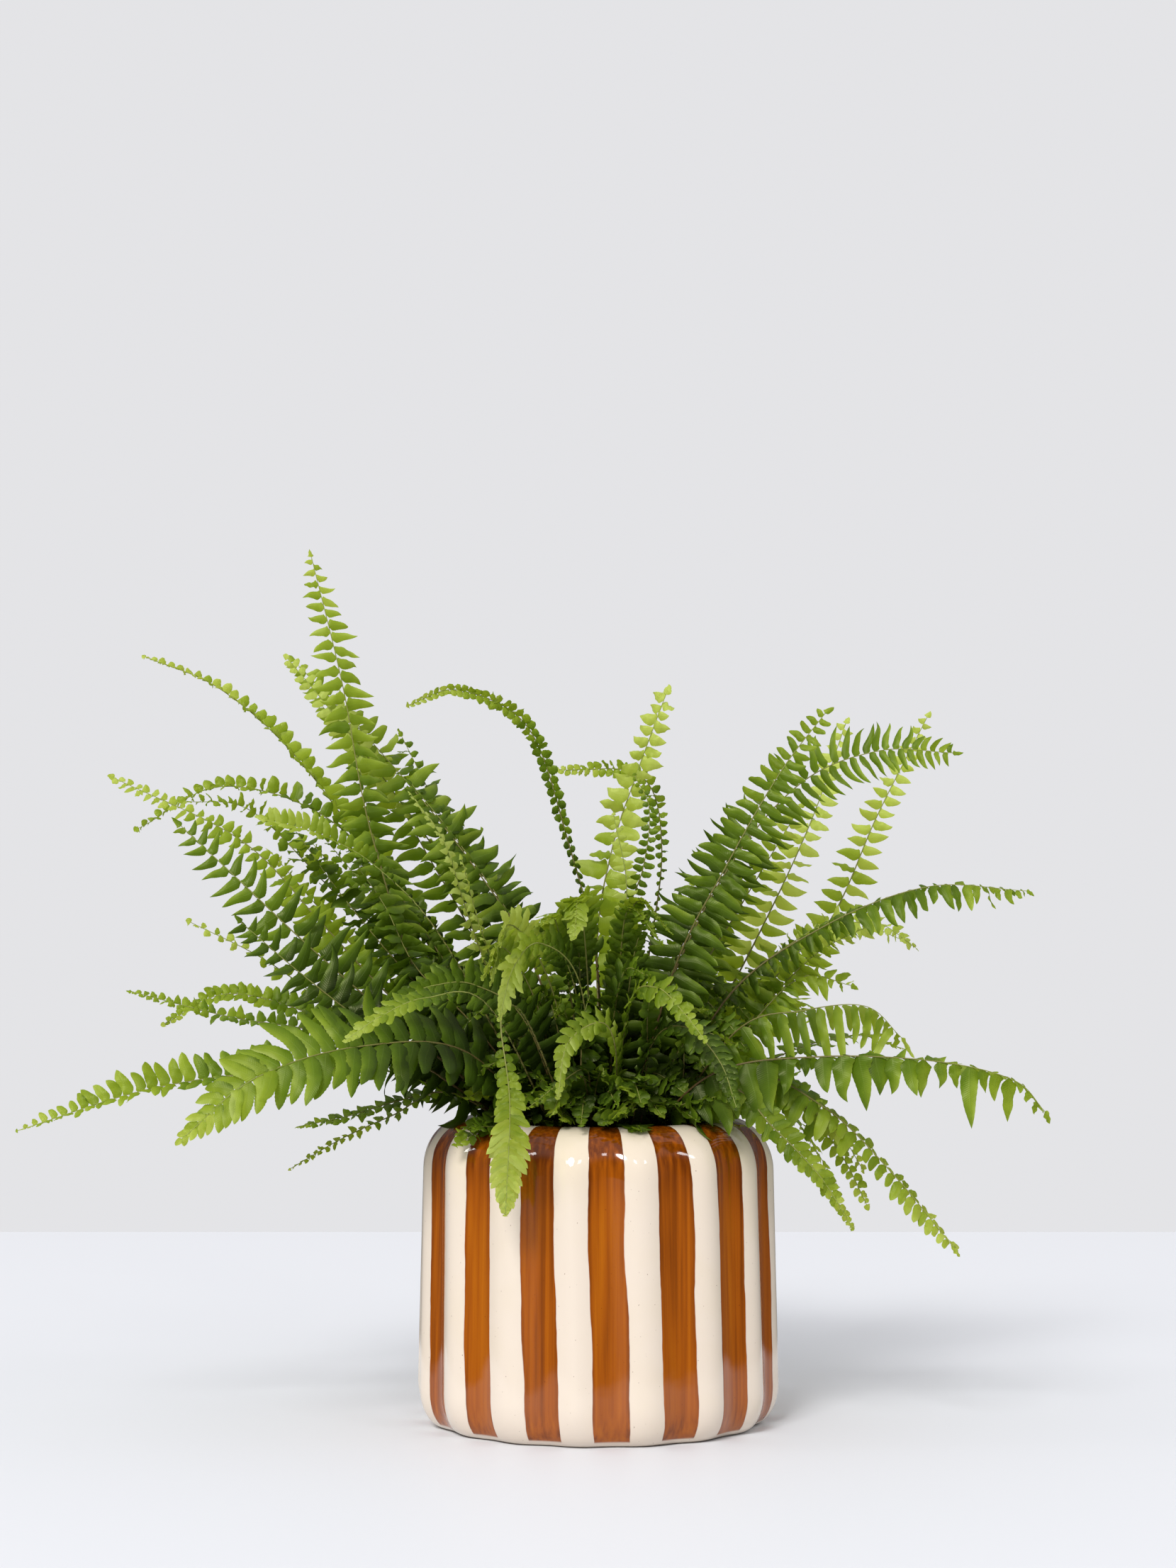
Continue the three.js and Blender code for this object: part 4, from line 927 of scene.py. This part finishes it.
def leaf_finish(name, glow, share):
    """A leaf whose light from behind has the colour glow and that share of the whole."""
    leaf = Finish(name)
    across, along = leaf.map_values("grain")
    tone, luck = leaf.map_values("leaf")
    side = (across - 0.5).math("ABSOLUTE") * 2
    midrib = 1 - side.rise(*MIDRIB_EDGES)
    forks = (along * (GRAIN_SIZE / VEIN_SPACING) - side * VEIN_SLANT) * (2 * math.pi)
    veins = forks.math("SINE") * 0.5 + 0.5
    place = leaf.place()
    mottle = leaf.noise(place, 140, 3)
    # painted light and shade: lighter on the edge toward the frond's tip and away from the foot,
    # darker on the other edge, less on young leaflets
    painted_leaflet_light = (across - 0.45) * (0.5 - tone * 0.38) + along.rise(0.0, 0.35) * 0.18 - 0.06
    shade = tone + painted_leaflet_light + (luck - 0.5) * 0.16 + (mottle - 0.5) * 0.24
    shade = shade + side * 0.03 - veins * 0.03
    color = leaf.mix(midrib * (0.03 + tone * 0.14), leaf.ramp(LEAF_STOPS, shade), PALE_VEIN)
    relief = (1 - midrib) * 0.35 - veins * 0.2 + leaf.noise(place, 700, 1) * 0.2
    skin = {"Specular IOR Level": 0.34, "Specular Tint": SKIN_TINT,
            "Normal": leaf.relief(relief, 0.5, 0.0003)}
    surface = leaf.surface(color, 0.30 + mottle * 0.16, skin)
    through = leaf.node("BsdfTranslucent", {}, {"Color": (*glow, 1)})
    return leaf.done(leaf.node("MixShader", {}, {0: share, 1: surface, 2: through}))


LEAF_FINISHES = [
    leaf_finish("oldest_leaf", (0.040, 0.078, 0.003), 0.25),
    leaf_finish("old_leaf", (0.094, 0.170, 0.005), 0.30),
    leaf_finish("grown_leaf", (0.20, 0.32, 0.008), 0.36),
    leaf_finish("younger_leaf", (0.39, 0.51, 0.020), 0.42),
    leaf_finish("youngest_leaf", (0.64, 0.73, 0.090), 0.47),
]
TONE_STEPS = (0.2, 0.4, 0.6, 0.8)  # shares of yellow at which one leaf finish gives way to the next

# %% [markdown]
# ## The stalk's finish
# The stalk is brown and wiry at the soil, with papery scales, and turns green toward the tip. The
# map "leaf" of a stalk holds how far along it a point lies, so one ramp does the change.

# %% Stalk finish
STALK_STOPS = [(0.0, (0.045, 0.020, 0.007)), (0.30, (0.085, 0.050, 0.016)),
               (0.55, (0.17, 0.16, 0.040)), (1.0, (0.30, 0.36, 0.070))]


def stalk_finish():
    stalk = Finish("stalk")
    tone, along = stalk.map_values("leaf")
    scurf = stalk.noise(stalk.place(), 900, 2)
    age = along * 0.7 + tone * 0.35 + (scurf - 0.5) * 0.3
    bump = {"Specular IOR Level": 0.3, "Normal": stalk.relief(scurf, 0.5, 0.0003)}
    return stalk.done(stalk.surface(stalk.ramp(STALK_STOPS, age), 0.5, bump))


FROND_FINISHES = [*LEAF_FINISHES, stalk_finish()]
STALK_NUMBER = len(LEAF_FINISHES)
print([finish.name for finish in FROND_FINISHES])

# %% [markdown]
# ## A whole frond
# A frond is its stalk, a tapering tube along the rib, and two rows of leaflets that stand nearly
# opposite each other, closer together toward the tip. Every number of its habit goes in here.

# %% Stalk and leaflets of a frond
STALK_SIDES = 6
STALK_RADIUS = (0.8, 0.17)  # mm, at the soil and at the tip
STALK_STEP = 2.5  # mm between the rings of a stalk
STALK_DEPTH = 0.8  # of its width
TIP_LEAN = 9  # enough to make the last leaflet point straight ahead
CLEARANCE = 0.8  # mm between a leaflet and the pot
leaf_random = np.random.default_rng(11)


def stalk_patch(rib, tone):
    """A tapering tube along the rib."""
    places = np.linspace(0, rib.length, max(12, int(rib.length / STALK_STEP)))
    point, along, up = rib.at(places)
    share = (places / rib.length)[:, None, None]
    radius = STALK_RADIUS[0] + (STALK_RADIUS[1] - STALK_RADIUS[0]) * share**0.7
    angle = np.linspace(0, 2 * np.pi, STALK_SIDES, endpoint=False)[None, :, None]
    across = np.cross(along, up)[:, None]
    spoke = np.cos(angle) * across + STALK_DEPTH * np.sin(angle) * up[:, None]
    leaf = np.stack(np.broadcast_arrays(tone, share + 0 * angle), -1).reshape(-1, 2)
    return {**ring_patch(point[:, None] + radius * spoke),
            "finish": STALK_NUMBER, "maps": {"grain": leaf, "leaf": leaf}}


def leaflets_patch(rib, longest, yellow, habit, random):
    """Both rows of leaflets of a frond, and the small one at its very tip."""
    pitch = habit["pitch"] or np.clip(3.2 + 0.26 * longest, 3.6, 8.0)
    pairs = int((rib.length - rib.bare) / pitch)
    hand = np.append(np.tile([1.0, -1.0], pairs), 1.0)
    share = (np.arange(2 * pairs + 1) * 0.5 + 0.2) / (pairs + 0.2)
    place = share * (1.3 - 0.3 * share)
    foot, tangent, normal = rib.at(rib.bare + (rib.length - rib.bare) * place)
    lean = habit["lean"] + habit["sweep"] * place**3 + 0.08 * random.standard_normal(len(place))
    lean[-1] = TIP_LEAN
    lift = habit["fold"] + 0.12 * random.standard_normal(len(place))
    outward = hand[:, None] * np.cross(tangent, normal)
    along = unit(outward + lean[:, None] * tangent + lift[:, None] * normal)
    along[:-1, 2] *= 1 - habit["level"] * np.clip(tangent[:-1, 2], 0, 1)
    along = unit(along)
    toward_tip = without(tangent - outward * 0.2, along)
    length = habit["stretch"] * longest * outline_share(place, habit)
    length = length * np.exp(habit["uneven"] * random.standard_normal(len(place)))
    width = habit["width"] * np.minimum(0.15 * length + 1.0, 0.56 * pitch * (1.25 - 0.5 * share))
    # the foot of each frond is darker: partly older leaflets, partly painted shade near the crown
    tone = 0.13 + 0.75 * yellow + habit["tint"] - habit["dark"] * (1 - place) ** 1.6
    tone = tone + habit["pale"] * place**2.2 + 0.03 * random.standard_normal(len(place))
    rows = int(np.clip(round(longest / SCALLOP_SIZE), 8, 26))
    patch = leaflet_patch(foot, along, toward_tip, length, width, habit, hand, rows, tone, random)
    patch["finish"] = np.repeat(np.digitize(tone, TONE_STEPS), rows * (len(COLUMNS) - 1))
    return patch


def clear_of_pot(points):
    """Lifts points off the soil and the shoulder, and moves them out of the wall."""
    x, y, z = points.T
    radius = np.maximum(np.hypot(x, y), 0.01)
    shoulder = POT_HEIGHT - SHOULDER_ROUND
    width = POT_TOP_RADIUS - LIP_RADIUS
    over = np.clip((radius - LIP_RADIUS) / width, 0, 1)
    round_top = shoulder + SHOULDER_ROUND * np.sqrt(1 - over**2)
    top = np.where(radius < LIP_RADIUS - WALL, SOIL_TOP - 3, round_top) + CLEARANCE
    lifted = np.where((z > shoulder - 4) & (radius < POT_TOP_RADIUS), np.maximum(z, top), z)
    push = np.where(lifted <= shoulder, np.maximum(radius, POT_RADIUS + CLEARANCE), radius) / radius
    return np.stack([x * push, y * push, lifted], -1)


def frond_patches(rib, longest, yellow, habit, random):
    """The stalk and leaflets of one frond, clear of the pot."""
    patches = [stalk_patch(rib, 0.1 + 0.75 * yellow),
               leaflets_patch(rib, longest, yellow, habit, random)]
    for patch in patches:
        patch["points"] = clear_of_pot(patch["points"])
    return patches


faces_made = 0
for name, frond in FRONDS.items():
    patches = frond_patches(ribs[name], frond.longest, frond.yellow, habit_of(name), leaf_random)
    piece = add_piece(f"fine_{name}", patches, FROND_FINISHES)
    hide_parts(f"frond_{name}")
    faces_made += len(piece.data.polygons)
print("frond faces", faces_made)

# %% [markdown]
# ## Growth between the fronds
# A fern that has filled its pot is dense: behind each frond that the eye picks out stand shorter
# and darker ones, and young curling fronds with tiny leaflets cover the soil and the rim. Nobody
# could place them one by one. The shorter fronds are companions of the fronds in the table: the
# same rib, cut shorter and turned a little about its foot by a seeded random draw. Three thin
# fronds were too slight for the construction model and have rows of their own. The young fronds
# start anywhere on the soil and arch outward.

# %% Companions
COMPANIONS = {  # name, share of the length, how much darker
    "left": [("left_tall", 0.7, 0.3), ("left_broad", 0.7, 0.3), ("left_broad_rear", 0.85, 0.2),
             ("left_front", 0.8, 0.2), ("left_dark", 1.2, 0.1), ("left_flat", 0.75, 0.2),
             ("left_slim", 0.8, 0.2), ("left_arch", 0.6, 0.3), ("left_reach", 0.7, 0.1),
             ("left_long", 0.6, 0.3), ("left_front", 0.6, 0.2)],
    "middle": [("mid_hook_rear", 0.6, 0.2), ("mid_front", 0.8, 0.3), ("mid_front", 0.9, 0.1),
               ("mid_front_right", 1.0, 0.1), ("mid_front_right", 0.8, 0.3),
               ("mid_facing", 0.9, 0.4), ("front_right", 0.8, 0.4), ("front_small", 1.0, 0.2),
               ("mid_drop", 0.7, 0.5)],
    "right": [("right_arch", 0.6, 0.2), ("right_slim", 0.8, 0.1), ("right_reach", 0.65, 0.1),
              ("right_young", 1.0, 0.0), ("right_young", 0.8, 0.2), ("right_low", 0.9, 0.0),
              ("right_droop", 0.6, 0.0)],
}
THIN_FRONDS = {  # rows as in the frond table
    "left": read_fronds([
        ["left_glow", 13, 1.2, [-14, 12], [0.2, -0.9, 0.3],
         [[-62, 245, 44], [-100, 302, 30], [-128, 338, 16], [-148, 362, 14]]],
    ]),
    "middle": read_fronds([
        ["mid_thread", 6, 0.3, [8, 12], [0.2, -0.9, 0.3],
         [[10, 222, 30], [22, 262, 36], [25, 290, 38], [18, 306, 38]]],
        ["mid_glow", 8, 0.9, [8, 14], [0.2, -0.9, 0.3],
         [[12, 222, 20], [14, 255, 24], [8, 287, 26]]],
    ]),
    "right": {},
}
LOOSER = {"turn": 0.3, "tip": 0.4, "uneven": 0.1}  # how much less tidy a companion grows
COMPANION_SIZE = 0.95
COMPANION_TURN = [0.13, 0.05, 0.13]  # spread about x, y and z, in radians
COMPANION_SHIFT = 3  # mm, spread of its foot
growth_random = np.random.default_rng(29)


def companion_rib(rib, share):
    """The rib cut to a share of its length, turned about its foot and set a little behind."""
    points, _, normals = rib.at(rib.length * min(share, 1.0) * np.array([0.3, 0.55, 0.8, 1.0]))
    turn = growth_random.standard_normal(3) * COMPANION_TURN
    root = rib.line[0] + [0, 5, 0] + COMPANION_SHIFT * growth_random.standard_normal(3) * [1, 1, 0]
    arms = points - rib.line[0]
    return Rib(root, root + max(share, 1.0) * (arms + np.cross(turn, arms)), normals[2] + turn)


for part, companions in COMPANIONS.items():
    patches = []
    for name, share, darker in companions:
        frond, habit = FRONDS[name], habit_of(name)
        habit |= {key: habit[key] + more for key, more in LOOSER.items()}
        patches += frond_patches(companion_rib(ribs[name], share), COMPANION_SIZE * frond.longest,
                                 frond.yellow - darker, habit, growth_random)
    for name, frond in THIN_FRONDS[part].items():
        patches += frond_patches(rib_of(frond), frond.longest, frond.yellow, habit_of(name),
                                 growth_random)
    growth = add_piece(f"inner_fronds_{part}", patches, FROND_FINISHES)
    print(growth.name, len(growth.data.polygons), "faces")

# %% Young growth over the soil
YOUNG_HABIT = dict(USUAL, round=0.8, turn=0.5, twist=0.5, fold=0.3, pitch=4.2, width=1.25)
YOUNG_LEAFLETS = (5, 10)  # mm, the longest of a frond
YOUNG_YELLOW = (0.0, 0.45)
YOUNG_REACH = (14, 42)  # mm
CROWN_RADIUS = 47


def young_rib(spread, rise):
    """A short rib from the soil that arches outward, at up to so many degrees from the front."""
    azimuth = np.radians(growth_random.uniform(-spread, spread))
    out = np.array([np.sin(azimuth), -np.cos(azimuth), 0])
    seat = CROWN_RADIUS * growth_random.uniform(0.1, 1) ** 0.5 * out
    reach = growth_random.uniform(*YOUNG_REACH)
    height = growth_random.uniform(*rise)
    root = seat + [0, 0, SOIL_TOP - ROOT_DEPTH]
    shares = [(0.12, 0.5), (0.45, 1.0), (1.0, growth_random.uniform(0.55, 1.1))]
    points = [seat + out * reach * far + [0, 0, SOIL_TOP + height * high] for far, high in shares]
    points = [point + growth_random.normal(0, 2.5, 3) for point in points]  # mm
    return Rib(root, points, [0, -0.6, 1] + growth_random.normal(0, 0.3, 3))


def young_piece(name, count, spread, rise):
    """So many young fronds, as one piece. The spread is in degrees, the rise in mm."""
    patches = []
    for _ in range(count):
        size = growth_random.uniform(*YOUNG_LEAFLETS)
        yellow = growth_random.uniform(*YOUNG_YELLOW)
        rib = young_rib(spread, rise)
        patches += frond_patches(rib, size, yellow, YOUNG_HABIT, growth_random)
    young = add_piece(name, patches, FROND_FINISHES)
    print(young.name, len(young.data.polygons), "faces")


young_piece("young_growth", 78, 180, (14, 66))
young_piece("young_growth_rim", 56, 80, (5, 24))

# %% [markdown]
# ## Floor, wall and light
# The plant stands on a pale table top in front of a pale grey wall. A real wall would hide the
# plant from behind, so the table simply ends where the wall would stand, and beyond it the world's
# own grey shows. The light is that of a daylight studio. A world of one even grey would also shine
# from behind the camera and wash out the brown glaze with its reflection, so for every ray but the
# camera's own the world is darker there, as the dim side of a studio is. The glaze would mirror a
# wide white table too, so in it the table is white only near the pot. A sun with a wide disc, high
# in front of the plant and a little to the left, gives the shape its shade and the soft shadow
# behind on the right. Four small square lamps give the glaze its little windows of light.

# %% Stage and lamps
TABLE_EDGE = 0.855  # metres behind the pot's axis
TABLE_REACH = 4.0
TABLE_WHITE = (0.75, 0.76, 0.79)
TABLE_DIM = (0.03, 0.03, 0.03)
WALL_GREY = (0.775, 0.775, 0.795)
GLOOM = 0.07  # of the studio's dim side, as a share of the wall
MIRRORED_WALL = 0.92  # how much darker the glaze mirrors the wall
MIRRORED_CEILING = 0.3
MIRRORED_TABLE = (0.28, 0.36)  # metres from the axis, where the table turns dark in the glaze
SUN_POWER = 2.25
SUN_SPREAD = 18  # degrees
SUN_FROM = (-0.26, -0.75, 0.61)
WINDOWS = [(-1.95, -0.25, 1.4), (-1.1, -1.6, 1.4), (0.3, -1.85, 1.4), (1.3, -1.4, 1.35)]
WINDOW_SIZE = 0.24
WINDOW_POWER = 2.4  # watts
AIM = (0, 0, 0.1)


def table_finish():
    """White, and as the glaze mirrors it, white only near the pot."""
    white = Finish("table_white")
    place = white.place()
    off = white.node("VectorMath", {"operation": "LENGTH"}, {0: place}, output="Value")
    mirrored = white.node("LightPath", output="Is Glossy Ray")
    color = white.mix(mirrored * off.rise(*MIRRORED_TABLE), TABLE_WHITE, TABLE_DIM)
    grain = white.noise(place, 300, 2)
    return white.done(white.surface(color, 0.6 + (grain - 0.5) * 0.1, {}))


def studio_world():
    """A lit wall behind and a ceiling above, dimmer where the glaze mirrors them."""
    studio = Finish("studio", bpy.data.worlds.new("studio"))
    _, depth, height = studio.split(studio.node("TexCoord", output="Generated"))
    seen = studio.node("LightPath", output="Is Camera Ray")
    mirrored = studio.node("LightPath", output="Is Glossy Ray")
    wall = depth.rise(-0.7, -0.2) * (1 - mirrored * MIRRORED_WALL)
    lit = wall.math("MAXIMUM", height.rise(0.3, 0.6) * (1 - mirrored * MIRRORED_CEILING))
    strength = seen.math("MAXIMUM", GLOOM + lit * (1 - GLOOM))
    light = studio.node("Background", {}, {"Color": (*WALL_GREY, 1), "Strength": strength})
    return studio.done(light, "World")


front, back = -TABLE_REACH, TABLE_EDGE
corners = [(-TABLE_REACH, front, 0), (TABLE_REACH, front, 0),
           (TABLE_REACH, back, 0), (-TABLE_REACH, back, 0)]
table_mesh = bpy.data.meshes.new("table_top")
table_mesh.from_pydata(corners, [], [(0, 1, 2, 3)])
table_mesh.materials.append(table_finish())
table_top = add_object("table_top", table_mesh)
bpy.context.scene.world = studio_world()
bpy.context.scene.view_settings.view_transform = "Standard"

sun_data = bpy.data.lights.new("key", "SUN")
sun_data.energy = SUN_POWER
sun_data.angle = math.radians(SUN_SPREAD)
sun = add_object("key", sun_data)
sun.rotation_euler = Vector(SUN_FROM).to_track_quat("Z", "Y").to_euler()
for number, place in enumerate(WINDOWS):
    data = bpy.data.lights.new(f"window_{number}", "AREA")
    data.size = WINDOW_SIZE
    data.energy = WINDOW_POWER
    window = add_object(data.name, data)
    window.location = place
    window.rotation_euler = (Vector(AIM) - Vector(place)).to_track_quat("-Z", "Y").to_euler()
